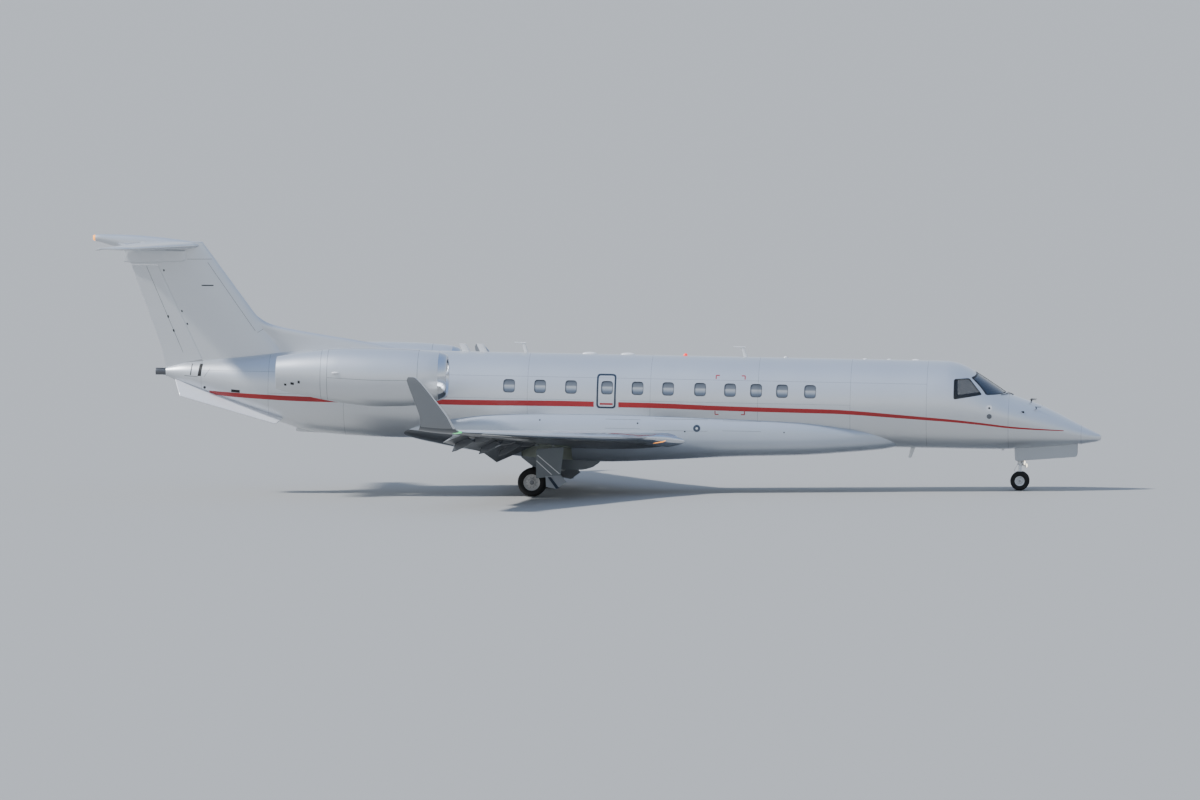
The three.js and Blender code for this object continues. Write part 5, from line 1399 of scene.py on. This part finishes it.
lug = block("lug", (LEG_FS + 40, LEG_FS + 66), (-40, 40), (AXLE_WL + 22, AXLE_WL + 62), 6)
dress(join("nose_steering_parts", collar, *links, yoke, lug), "nose_steering", white,
      slot="gear_enamel")
lamp_cups, lamp_glass = [], []
for fs, wl, y in ((-58, -1476, 88), (-58, -1476, -88), (-112, -1545, 0)):
    spot = at(LEG_FS + fs, y, wl)
    lamp_cups.append(turned("lamp", [(0, 0), (30, 2), (50, 16), (56, 36), (56, 44), (0, 44)],
                            spot, FORWARD, 32))
    lamp_cups.append(bar("lamp_arm", leg(wl + 14, -20, y * 0.5), spot, 0.014))
    lamp_glass.append(turned("lamp_glass", [(0, 40), (53, 42), (52, 54), (42, 68), (24, 78),
                                            (0, 81)], spot, FORWARD, 32))
dress(join("taxi_lamps", *lamp_cups), "nose_steering", white, slot="gear_enamel")
dress(join("taxi_lamp_glass", *lamp_glass), "nose_steering", lamps["clear"], slot="window_glass")

# Nose gear doors: flat panels with rounded edges, hinge arms and ribs
for word, side in SIDES:
    outline = rounded([(610, -930), (620, -1285), (2225, -1430), (2255, -1040)], 60, 5)
    panel = skin("door", [[at(p[0], side * y, p[1]) for p in outline] for y in (178, 197)])
    parts = [smooth(bevelled(panel, 0.006, 3))]
    for fs, wl in ((760, -900), (1850, -1010)):
        parts.append(block("hinge", (fs, fs + 140), tuple(sorted((side * 182, side * 204.5))),
                           (wl - 70, wl), 5))
    for fs in (980, 1400, 1760):
        parts.append(block("rib", (fs, fs + 26), tuple(sorted((side * 168, side * 180))),
                           (-1270, -1010), 4))
    dress(join(f"nose_gear_door_{word}_panel", *parts), "airframe", pale_grey_and_painted_light,
          f"nose_gear_door_{word}", slot="grey_paint")

# Main gear on the port side: leg, cheeks, side brace, trailing arm, shock strut and doors

def gear(x, z, out=0):
    """A ground point of the main gear, this far outboard of its leg."""
    return ground(x, MAIN_Y + out, z)


def gear_plate(name, outline, y0, y1, bevel=6):
    """A flat plate of [x, z] points between two distances outboard of the leg."""
    piece = skin(name, [[gear(x, z, y) for x, z in outline] for y in (y0, y1)])
    return smooth(bevelled(piece, bevel / 1000, 3, 50), 50)


trunk = turned("trunk", [(0, 0), (74, 0), (74, 60), (64, 75), (64, 400), (74, 415), (74, 455),
                         (64, 470), (64, 560), (0, 560)], gear(-1080, 690),
               gear(-1078, 1500) - gear(-1080, 690), 40)
cheek = [(-1160, 700), (-1165, 520), (-1140, 462), (-1082, 442), (-1022, 462), (-1000, 520),
         (-1000, 700)]
bridge = [(-1160, 735), (-1160, 645), (-1000, 645), (-1000, 735)]
brace_lug = [(-1100, 1200), (-1160, 1175), (-1160, 1125), (-1100, 1100)]
pieces = [trunk, gear_plate("cheek", cheek, 57, 90), gear_plate("cheek", cheek, -90, -57),
          gear_plate("bridge", bridge, -90, 90, 12),
          bar("pivot", gear(*PIVOT, -98), gear(*PIVOT, 98), 0.039, sides=32, bevel=0.004),
          bar("side_brace", gear(-1045, 1430, -540), gear(-1078, 905), 0.032, 0.03),
          bar("brace_joint", gear(-1062, 1180, -300), gear(-1062, 1120, -240), 0.05, sides=24,
              bevel=0.006),
          gear_plate("lug", brace_lug, -52, -18), gear_plate("lug", brace_lug, 18, 52)]
main_leg = join("main_leg_left_cylinder", *pieces)
arm_line = gear(*AXLE) - gear(*PIVOT)
arm_up = Vector((-arm_line.z, 0, arm_line.x)).normalized()
arm = skin("arm", [[gear(*PIVOT) + arm_line * along
                    + (Vector((0, cos(t) * wide, 0)) + arm_up * sin(t) * high) / 1000
                    for t in circle(32)] for along, wide, high in
                   ((0, 50, 66), (0.12, 46, 58), (0.3, 40, 52), (0.6, 42, 60), (0.85, 50, 62),
                    (1, 54, 66))])
boss = bar("boss", gear(*PIVOT, -56), gear(*PIVOT, 56), 0.08, sides=40, bevel=0.006)
end = bar("end", gear(*AXLE, -56), gear(*AXLE, 56), 0.072, sides=40, bevel=0.006)
horn = bar("horn", gear(-1395, 430), gear(-1385, 545), 0.048, 0.04, bevel=0.006)
arm = carve(carve(carve(arm, boss, "UNION"), end, "UNION"), horn, "UNION")
carve(arm, bar("tool", gear(*AXLE, -200), gear(*AXLE, 200), 0.0435, sides=32))
carve(arm, bar("tool", gear(*PIVOT, -200), gear(*PIVOT, 200), 0.0412, sides=32))
arm = smooth(arm)
brakes = [turned("brake", [(76, 0), (150, 0), (156, 6), (156, 26), (150, 32), (76, 32), (76, 0)],
                 gear(*AXLE, side * 62), Vector((0, side, 0)), 40) for side in (-1, 1)]
rod = bar("rod", gear(-1384, 520), gear(-1290, 860), 0.034, sides=32)
barrel = [bar("barrel", gear(-1304, 808), gear(-1212, 1150), 0.054, 0.054, 32, 0.006),
          bar("gland", gear(-1306, 800), gear(-1298, 832), 0.06, 0.06, 32, 0.004),
          bar("upper", gear(-1228, 1122), gear(-1120, 1148), 0.038, 0.034),
          bar("eye", gear(-1136, 1148, -17), gear(-1136, 1148, 17), 0.05, sides=32, bevel=0.004),
          bar("foot", gear(-1384, 552, -40), gear(-1384, 552, 40), 0.042, sides=32, bevel=0.005)]
lines = join("lines", *[tube("line", [gear(*spot) for spot in route], 0.009) for route in (
    ((-1165, 1240, 40), (-1168, 1000, 62), (-1170, 800, 100), (-1100, 640, 100),
     (-1240, 520, 62), (-1420, 470, 62), (-1520, 440, 62)),
    ((-1010, 1240, 30), (-1000, 960, 40), (-985, 760, 30), (-1000, 690, 0)))])

LEG_DOOR_Y, DOOR_SHEET = 390, 22  # the door's distance outboard of the leg, and its thickness
outer = rounded([(-1420, 1240), (-1440, 480), (-800, 545), (-705, 1290)], 40, 4)
leg_door = [gear_plate("door", outer, LEG_DOOR_Y, LEG_DOOR_Y + DOOR_SHEET, 5)]
flap_corners = [(-1190, 540, 0), (-790, 560, 0), (-640, 390, 60), (-900, 205, 110),
                (-1170, 262, 90)]
lower = skin("flap", [[gear(x, z, LEG_DOOR_Y + out + face) for x, z, out in flap_corners]
                      for face in (0, DOOR_SHEET)])
bevelled(lower, 0.005, 3)
leg_door.append(gear_plate("bracket", [(-1110, 1010), (-1110, 950), (-1040, 950), (-1040, 1010)],
                           64, LEG_DOOR_Y + 5, 5))
leg_door.append(gear_plate("bracket", [(-1090, 700), (-1090, 664), (-1054, 664), (-1054, 700)],
                           80, LEG_DOOR_Y + 5, 5))
for piece in leg_door:
    # The door's darker grey is painted shade, and its lower flap's pale grey is painted light
    piece.data.materials.append(door_grey_and_painted_shade)
# The lower flap's pale grey is painted light
lower.data.materials.append(pale_grey_and_painted_light)
leg_door = join("leg_door", *leg_door, smooth(lower, 50))
link = skin("link", [[gear(x, z, LEG_DOOR_Y + out) for x, z, out in
                      ((-1135, 512, 26 + d), (-1048, 512, 26 + d), (-826, 228, 130 + d),
                       (-912, 216, 130 + d))] for d in (0, 9)])
bevelled(link, 0.003)
white_lines = []
for (x0, z0), (x1, z1) in (((-1395, 1085), (-826, 594)), ((-1422, 938), (-1023, 569))):
    dx, dz = (x1 - x0), (z1 - z0)
    n = Vector((-dz, dx)).normalized() * 11
    white_lines.append(gear_plate("line", [(x0 + n.x, z0 + n.y), (x0 - n.x, z0 - n.y),
                                           (x1 - n.x, z1 - n.y), (x1 + n.x, z1 + n.y)],
                                  LEG_DOOR_Y + DOOR_SHEET - 1, LEG_DOOR_Y + DOOR_SHEET + 2.5, 1))
white_lines = join("door_lines", *white_lines)
outline = rounded([(-1990, 1100), (-1990, 950), (-1640, 670), (-780, 598), (-340, 600),
                   (-60, 680), (110, 860), (110, 1100)], 90, 4)
well_door = skin("well_door", [[ground(x, y, z) for x, z in outline] for y in (470, 494)])
smooth(bevelled(well_door, 0.006, 3, 50), 50)
for piece, name, material, node, slot in (
        (main_leg, "main_leg_cylinder", white, "main_leg", "gear_enamel"),
        (arm, "trailing_arm_forging", white, "trailing_arm", "gear_enamel"),
        (join("brakes", *brakes), "brakes", steel, None, "dark_steel"),
        (rod, "shock_strut_rod", polished, "shock_strut", "polished_steel"),
        (join("barrel", *barrel), "shock_strut_barrel", white, None, "polished_steel"),
        (lines, "brake_lines", sealant_and_hole_shade, None, "tyre_rubber"),
        (leg_door, "leg_door_panel", door_grey_and_painted_shade, "main_leg_door", "grey_paint"),
        (white_lines, "leg_door_lines", white, None, "grey_paint"),
        (link, "leg_door_link", navy, None, "grey_paint"),
        (well_door, "well_door_panel", door_grey_and_painted_shade, "wheel_well_door", "grey_paint")):
    dress_pair(piece, name, "airframe", material, node, slot)

# Fittings on the skin

def blade(name, foot_fs, foot_chord, tip_fs, tip_chord, height, thick, base=None, way=1):
    """A swept blade antenna standing on the top line, or hanging where way is -1."""
    base = curve(HULL, foot_fs)[1] - 12 if base is None else base
    rings = []
    for t in (0, 0.5, 0.85, 0.97, 1):
        chord = foot_chord + (tip_chord - foot_chord) * t - (30 if t == 1 else 8 if t > 0.9 else 0)
        lead = foot_fs + (tip_fs - foot_fs) * t + (15 if t == 1 else 4 if t > 0.9 else 0)
        rings.append([at(lead + chord * s, f * thick * (1 - 0.4 * t) * half_thick(s),
                         base + way * height * t) for s, f in section(SPACING[::2])])
    return skin(name, rings)


def dome(name, fs, long, wide, high, y=0, base=None, way=1):
    """A low streamlined dome on the top line."""
    base = curve(HULL, fs)[1] - 10 if base is None else base
    bpy.ops.mesh.primitive_uv_sphere_add(segments=32, ring_count=16)
    piece = bpy.context.object
    piece.name = name
    for v in piece.data.vertices:
        v.co = at(fs - v.co.x * long / 2, y + v.co.y * wide / 2, base + way * v.co.z * high)
    with editing(piece):
        bpy.ops.mesh.normals_make_consistent(inside=False)
    return smooth(piece, 60)


aerials = [blade("blade_aft", 16485, 212, 16609, 176, 212, 34),
           blade("blade_fore", 16030, 204, 16151, 190, 216, 34),
           dome("dome_aft", 13367, 410, 200, 58), dome("dome_fore", 12369, 400, 200, 58)]
for fs in (14965, 9235):
    aerials.append(blade("mast", fs, 110, fs + 112, 76, 262, 24))
    top_wl = curve(HULL, fs)[1] + 246
    aerials.append(bar("mast_arm", at(fs + 75, 0, top_wl), at(fs + 385, 0, top_wl + 12), 0.016,
                       0.011, 24))
for fs, size, high in ((8250, 120, 42), (6180, 120, 32), (5552, 120, 32), (4856, 220, 36)):
    aerials.append(dome("bump", fs, size, size * 0.5, high))
aerials.append(blade("belly_blade", 4831, 120, 4930, 86, 280, 22, -1125, -1))
aerials.append(blade("belly_blade", 2500, 90, 2530, 60, 60, 18, -1108, -1))
keel = [(19900, -1075), (20990, -1042), (21030, -1020), (21010, -900), (20000, -1010)]
aerials.append(plate("keel_blade", rounded(keel, 20), (-16, 16), 6))
dress(join("aerials", *aerials), "airframe", white, slot="pale_paint")
dress(join("beacons", dome("beacon_top", 10868, 116, 96, 72),
           dome("beacon_belly", 10600, 110, 90, 60, base=-1452, way=-1)),
      "airframe", lamps["red"], slot="window_glass")

STATIC_PORT, VANE, FUEL_PORT, PANEL_WL = (2893, -27), (2021, -127), (10470, -697), -620
REVERSER_FS, COWL_JOINT, SCOOP_FS = (19993, 20167), {"fs": 17640, "long": 2340}, 19760
WICK = (0.004, 0.0025, 8)        # its two radii in metres, and its sides


def fin_point(fs, wl, side, grow):
    """The point of the fin's face at a station and waterline."""
    row = row_at(FIN, min(wl, FIN[-1][2] - 1), 2)
    step = min(1, max(0.001, (fs - row[0]) / row[3]))
    return at(fs, side * (max(row[4] * half_thick(step), BLUNT) + grow), wl)


def fin_line(name, line, width, side, count=10, grow=1.2):
    """A stripe on the fin's face between two (fs, wl) points."""
    (f0, w0), (f1, w1) = line
    n = Vector((-(w1 - w0), f1 - f0)).normalized() * width / 2
    rows = [[fin_point(f0 + (f1 - f0) * t + n.x * d, w0 + (w1 - w0) * t + n.y * d, side, grow)
             for d in (-1, 1)] for t in (k / count for k in range(count + 1))]
    return sheet(name, rows, at((f0 + f1) / 2, 0, (w0 + w1) / 2), 0.002)


def belly_point(fs, wl, side, grow):
    """The point of the belly fairing's side at a station and waterline."""
    _, middle, half, rise, fall = curve(BELLY, fs)
    reach = rise if wl > middle else fall
    across = (1 - min(1, abs(wl - middle) / reach) ** BELLY_POWER) ** (1 / BELLY_POWER)
    return at(fs, side * (half * across + grow), wl)


def belly_band(name, loop, other, side, grow=1.5):
    """A band of the belly fairing's skin between two closed loops of (fs, wl) points."""
    rows = [[belly_point(*p, side, grow) for p in (*ring, ring[0])] for ring in (loop, other)]
    return sheet(name, rows, at(loop[0][0], 0, -900), 0.003)


def cowl_point(fs, turn, side, grow=1.2):
    """The point of the nacelle's outside at a station and an angle from its top."""
    _, wl, radius = curve(OUTSIDE, fs)
    return at(fs, side * (NACELLE_Y + (radius + grow) * sin(turn)),
              wl + (radius + grow) * cos(turn))


for word, side in SIDES:
    # Nose: static port plate with its dark hole, angle-of-attack vane, pitot probes
    plates = [disc("plate", *STATIC_PORT, 78, side), disc("plate", 2889, -244, 66, side)]
    dress(plates[0], "airframe", white)
    dress(plates[1], "airframe", seam_grey)
    # The port's hole is a dark disc on the skin: painted shade
    dress(disc("port", *STATIC_PORT, 26, side, 3.5), "airframe", sealant_and_hole_shade)
    probes = []
    for fs, wl in ((1690, -50), (1835, 120)):
        foot = hull_point(fs, min(wl, curve(HULL, fs)[1] - 30), side, -6)
        out = (foot - at(fs, 0, curve(HULL, fs)[4])).normalized()
        tip = foot + out * 0.085
        probes += [bar("stem", foot, tip, 0.014, 0.01),
                   bar("tube", tip - FORWARD * 0.03, tip + FORWARD * 0.13, 0.011, 0.006)]
    foot = hull_point(*VANE, side, -4)
    out = (foot - at(VANE[0], 0, -390)).normalized()
    probes += [bar("vane_base", foot, foot + out * 0.02, 0.034, 0.026),
               bar("vane", foot, foot + out * 0.075 - FORWARD * 0.045, 0.012, 0.007)]
    dress(join(f"probes_{word}", *probes), "airframe", dark_trim_and_slot_shade, slot="dark_steel")

    # Tail: intake slots of the auxiliary power unit, vents and drain marks
    # The slots, the vent and the hole are dark sheets on the skin: painted shade for their openings
    slots = [strip("slot", [(23752, 684), (23788, 390)], [24, 24], side),
             strip("slot", [(23508, 690), (23554, 372)], [88, 88], side, 1.5),
             strip("vent", [(22690, 14), (22460, 0)], [72, 72], side),
             disc("hole", 23411, 75, 36, side)]
    dress(join(f"tail_slots_{word}", *slots), "airframe", sealant_and_hole_shade)
    edges = [strip("edge", [(23951, 373), (23590, 354)], [14, 14], side, 1.0),
             strip("edge", [(23270, 572), (23425, 352)], [10, 10], side, 1.0)]
    dress(join(f"tail_panel_joint_{word}", *edges), "airframe", seam_grey)

    # Fin and rudder: hinge line joints, small hinge covers and a slot
    lines = [fin_line("line", ends, 9, side) for ends in (
        ((23300, 3420), (23946, 3408)), ((22126, 1567), (23404, 3330)),
        ((22067, 1526), (21740, 1735)))]
    dress(join(f"fin_joints_{word}", *lines), "airframe", seam_grey)
    # The fin's slot is a dark sheet on its face: painted shade
    dress(fin_line(f"fin_slot_{word}", ((23555, 2730), (23240, 2736)), 30, side), "airframe",
          dark_trim_and_slot_shade)
    trail = fin_line("line", ((25020, 3215), (23905, 711)), 9, side)
    covers = [fin_line("cover", ((fs, wl), (fs - 18, wl - 62)), 40, side, 3, 6)
              for fs, wl in ((24435, 1930), (24283, 1566))]
    dress(join(f"rudder_joint_{word}", trail), "rudder", seam_grey)
    dress(join(f"rudder_covers_{word}", *covers), "rudder", dark_trim_and_slot_shade)
    covers = [fin_line("cover", ((fs, wl), (fs - 16, wl - 50)), 34, side, 3, 6)
              for fs, wl in ((24560, 3128), (24070, 2074), (23925, 1742))]
    dress(join(f"fin_covers_{word}", *covers), "airframe", dark_trim_and_slot_shade)

    # Belly fairing: fuel port ring, panel joints and small marks, on its flattened side
    rim, cap, hole, point = (round_loop(*FUEL_PORT, radius) for radius in (94, 31, 30, 1))
    dress(belly_band(f"fuel_port_ring_{word}", rim, hole, side), "airframe", navy)
    dress(belly_band(f"fuel_port_cap_{word}", cap, point, side, 2.5), "airframe", silver)
    bands = []
    for fs, wide, half in ((10880, 1380, 150), (12400, 900, 120), (9300, 1000, 130)):
        joint = [dense([(fs - wide / 2 + d, PANEL_WL - half + d),
                        (fs + wide / 2 - d, PANEL_WL - half + d),
                        (fs + wide / 2 - d, PANEL_WL + half - d),
                        (fs - wide / 2 + d, PANEL_WL + half - d)], 6) for d in (0, 6)]
        bands.append(belly_band("joint", *joint, side, 1.0))
    dress(join(f"belly_panel_joints_{word}", *bands), "airframe", seam_grey)
    marks = [belly_band("mark", round_loop(fs, wl, r), round_loop(fs, wl, 1), side)
             for fs, wl, r in
             ((14560, -560, 20), (12010, -594, 22), (10778, -785, 20), (8200, -760, 18))]
    dress(join(f"belly_marks_{word}", *marks), "airframe", dark_trim_and_slot_shade)

    # Nacelle: joints of the reverser and cowls, scoop, drain masts
    def inside_cowl(fs):
        return at(fs, side * NACELLE_Y, 550)

    joints = []
    for fs in (*REVERSER_FS, COWL_JOINT["fs"]):
        rows = [[cowl_point(fs + d, turn, side) for turn in (*circle(72), 2 * pi)]
                for d in (-4, 4)]
        joints.append(sheet("joint", rows, inside_cowl(fs), 0.002))
    for turn in (0.52 * pi, 1.04 * pi, 0.06 * pi):
        rows = [[cowl_point(COWL_JOINT["fs"] + COWL_JOINT["long"] * k / 20, turn + d, side)
                 for k in range(21)] for d in (-0.005, 0.005)]
        joints.append(sheet("joint", rows, inside_cowl(18800), 0.002))
    dress(join(f"cowl_joints_{word}", *joints), "airframe", seam_grey)
    # The reverser's openings are dark sheets on the cowl: painted shade
    openings = []
    for fs, turn, wide in ((20860, 0.66, 90), (21060, 0.7, 60), (20700, 0.62, 60)):
        rows = [[cowl_point(fs + f, pi * turn + t, side) for f in (0, wide / 2, wide)]
                for t in (-0.07, 0, 0.07)]
        openings.append(sheet("opening", rows, inside_cowl(fs), 0.003))
    dress(join(f"reverser_openings_{word}", *openings), "airframe", sealant_and_hole_shade)
    scoop = dome("scoop", SCOOP_FS, 210, 120, 34, base=0)
    scoop.data.transform(Matrix.Translation(cowl_point(SCOOP_FS, 0.46 * pi, side, -8)
                                            - at(SCOOP_FS, 0, 0)))
    mast = bar("drain", cowl_point(18900, 1.02 * pi, side, -6),
               cowl_point(18930, 1.02 * pi, side, 60), 0.018, 0.012)
    dress(join(f"cowl_scoops_{word}", scoop, mast), "airframe", white)

    # Static wicks at the trailing edges
    wicks = []
    for y in (7900, 8500, 9100):
        root = foil(row_at(WING, y), 1, 0)
        wicks.append(bar("wick", at(root.x - 10, side * y, root.z),
                         at(root.x + 130, side * (y + 14), root.z - 6), *WICK))
    dress(join(f"aileron_wicks_{word}", *wicks), f"aileron_{word}", dark_trim_and_slot_shade, slot="lining")

# Cockpit: carpet, panel with its displays, centre pedestal, control wheels and seats
SEAT_Y, CABIN_FLOOR = 430, -698
PANEL_FS = 3008                  # the instrument panel's face


def refinish(node, material):
    """A real material for a node of the model that stays."""
    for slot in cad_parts[node].material_slots:
        slot.material = material


refinish("cockpit_floor", carpet)
refinish("instrument_panel", dark_trim_and_slot_shade)
screens = [block("screen", (PANEL_FS, PANEL_FS + 10), (y - 98, y + 98), (-132, 66), 4)
           for y in (-650, -415, 0, 415, 650)]
dress(join("displays", *screens), "airframe", display, slot="window_glass")
knobs = [bar("knob", at(PANEL_FS, y, wl), at(PANEL_FS + 22, y, wl), 0.013, 0.011, 20, 0.002)
         for wl in (-178, -218) for y in range(-760, 761, 95)]
dress(join("panel_knobs", *knobs), "airframe", trim, slot="lining")
quadrant = [block("pedestal", (3296, 4054), (-134, 134), (CABIN_FLOOR, -205), 14)]
for y, fs in ((-40, 3480), (-14, 3492), (14, 3492), (40, 3480), (-70, 3700), (70, 3690)):
    quadrant.append(bar("lever", at(fs, y, -210), at(fs - 26, y, -118), 0.006, sides=12))
    quadrant.append(bar("grip", at(fs - 22, y, -128), at(fs - 32, y, -92), 0.012, 0.012, 16, 0.004))
dress(join("centre_pedestal", *quadrant), "airframe", dark_trim_and_slot_shade, slot="lining")
wheels = []
for y in (-SEAT_Y, SEAT_Y):
    wheels.append(bar("column", at(3012, y, -168), at(3262, y, -188), 0.019))
    wheels.append(tube("wheel", [at(fs, y + d, wl) for d, fs, wl in (
        (-158, 3258, -60), (-166, 3266, -140), (-120, 3272, -196), (0, 3266, -196),
        (120, 3272, -196), (166, 3266, -140), (158, 3258, -60))], 0.015))
dress(join("control_wheels", *wheels), "airframe", dark_trim_and_slot_shade, slot="lining")


def pad(name, centre, length, width, depth, channels=()):
    """A crowned leather pad with sewn channels: half vectors along, across and outwards."""
    bpy.ops.mesh.primitive_cube_add(size=2)
    piece = bpy.context.object
    piece.name = name
    with editing(piece):
        bpy.ops.mesh.subdivide(number_cuts=19)
    centre, length, width, depth = (Vector(v) for v in (centre, length, width, depth))
    for v in piece.data.vertices:
        a, b, c = v.co
        crown = (1 - a ** 4) * (1 - b ** 4)
        c *= 0.58 + 0.42 * crown if c > 0 else 0.9
        if c > 0:
            c -= sum(0.13 * exp(-((b - k) / 0.05) ** 2) for k in channels) * crown
        a, b = a * (1 - 0.05 * (1 - b * b)), b * (1 - 0.05 * (1 - a * a))
        v.co = at(*(centre + length * a + width * b + depth * c))
    with editing(piece):
        bpy.ops.mesh.normals_make_consistent(inside=False)
    shape(piece, "SUBSURF", levels=1, render_levels=1)
    return smooth(piece, 60)


for word, side in SIDES:
    y = SEAT_Y * side
    seat = f"pilot_seat_{word}"
    cushion = pad(f"{seat}_cushion", (3960, y, -365), (238, 0, 0), (0, 236, 0), (0, 0, 66),
                  (-0.5, 0, 0.5))
    back = pad(f"{seat}_back", (4264, y, -42), (52, 0, 288), (0, 232, 0), (-52, 0, 10),
               (-0.5, 0, 0.5))
    head = pad(f"{seat}_headrest", (4322, y, 336), (14, 0, 78), (0, 116, 0), (-38, 0, 7))
    for piece, nodes in ((cushion, [seat]), (back, []), (head, [])):
        dress(piece, "airframe", leather, *nodes, slot="seat_leather")
    frame_parts = [block("foot", (3860, 4090), (y - 140, y + 140), (CABIN_FLOOR, -440), 22),
                   block("pan", (3730, 4240), (y - 222, y + 222), (-446, -424), 8),
                   skin("shell", [[at(fs, y + d, wl) for fs, wl in
                                   ((4318, -330), (4338, -330), (4392, 250), (4374, 250))]
                                  for d in (-212, 212)])]
    for d in (-262, 262):
        frame_parts.append(block("armrest", (3960, 4250), (y + d - 24, y + d + 24),
                                 (-196, -152), 16))
        frame_parts.append(bar("arm_post", at(4240, y + d, -176), at(4300, y + d * 0.84, -150),
                               0.014))
    for d in (-60, 60):
        frame_parts.append(bar("head_post", at(4318, y + d, 240), at(4326, y + d, 290), 0.008))
    dress(join(f"{seat}_frame", *frame_parts), "airframe", dark_trim_and_slot_shade, slot="lining")

# Windscreen wipers, parked along the lower edge of the glass
DECK_OUT = Vector((-0.55, 0, 0.84))  # outwards from the nose's upper skin, in stations


def deck_point(y, wl, grow):
    """The point of the nose's upper skin at this side and waterline, found by halving."""
    low, high = 1900, 3500
    while high - low > 0.5:
        fs = (low + high) / 2
        _, top, _, half, widest = curve(HULL, fs)
        low, high = (fs, high) if widest + (top - widest) * sqrt(1 - (y / half) ** 2) < wl \
            else (low, fs)
    return at(*(Vector((low, y, wl)) + DECK_OUT * grow))


for word, side in SIDES:
    blade_line = [deck_point(y * side, 350 - 0.082 * y, 9) for y in (110, 200, 300, 400, 500, 600)]
    arm_line = [deck_point(60 * side, 292, 12), deck_point(160 * side, 312, 15),
                deck_point(345 * side, 322, 22)]
    wiper = [tube("blade", blade_line, 0.008), tube("arm", arm_line, 0.007),
             bar("pivot", deck_point(60 * side, 292, -10), deck_point(60 * side, 292, 17), 0.019,
                 0.015, 24, 0.002)]
    dress(join(f"wiper_{word}", *wiper), "airframe", dark_trim_and_slot_shade, slot="tyre_rubber")

# Static wicks on the tail
for word, side in SIDES:
    wicks = []
    for y in (1700, 2500, 3200):
        root = foil(row_at(TAILPLANE, y), 1, 0)
        wicks.append(bar("wick", at(root.x - 24, side * y, root.z - 58),
                         at(root.x + 96, side * (y + 8), root.z - 78), *WICK))
    dress(join(f"elevator_wicks_{word}", *wicks), f"elevator_{word}", dark_trim_and_slot_shade, slot="lining")

# Floor, far enough out to fill the view, a clear sky, and a sun halfway up on the tail's side
SKY_STRENGTH, SUN_STRENGTH, SUN_FROM = 1.12, 6.0, Vector((-0.98, -0.24, 1.0))
bpy.ops.mesh.primitive_plane_add(size=7000, location=(0, 0, 0))
floor = bpy.context.object
floor.name = "floor"
floor_paint, tree, shader = finish("plain_floor", Roughness=0.75)
shader.inputs["Base Color"].default_value = tint("979795")
floor.data.materials.append(floor_paint)
floor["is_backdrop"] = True

world = bpy.data.worlds.new("studio")
bpy.context.scene.world = world
world.use_nodes = True
tree = world.node_tree
height = add_node(tree, "ShaderNodeSeparateXYZ",
                  {"Vector": add_node(tree, "ShaderNodeTexCoord").outputs["Generated"]})
dome_colours = add_node(tree, "ShaderNodeValToRGB", {"Fac": height.outputs["Z"]})
for k, (spot, code) in enumerate(((0.0, "F2F5F8"), (0.15, "E6ECF2"), (0.5, "BCCDE8"),
                                  (1.0, "94B0DE"))):
    stop = dome_colours.color_ramp.elements[k] if k < 2 else \
        dome_colours.color_ramp.elements.new(spot)
    stop.position, stop.color = spot, tint(code)
tree.links.new(dome_colours.outputs["Color"], tree.nodes["Background"].inputs["Color"])
tree.nodes["Background"].inputs["Strength"].default_value = SKY_STRENGTH
key_data = bpy.data.lights.new("key", "SUN")
key_data.energy, key_data.angle = SUN_STRENGTH, radians(4)
key = bpy.data.objects.new("key", key_data)
bpy.context.scene.collection.objects.link(key)
key.rotation_euler = SUN_FROM.to_track_quat("Z", "Y").to_euler()

dressed_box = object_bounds()
[[list(corner) for corner in pair] for pair in (model_box, dressed_box)]
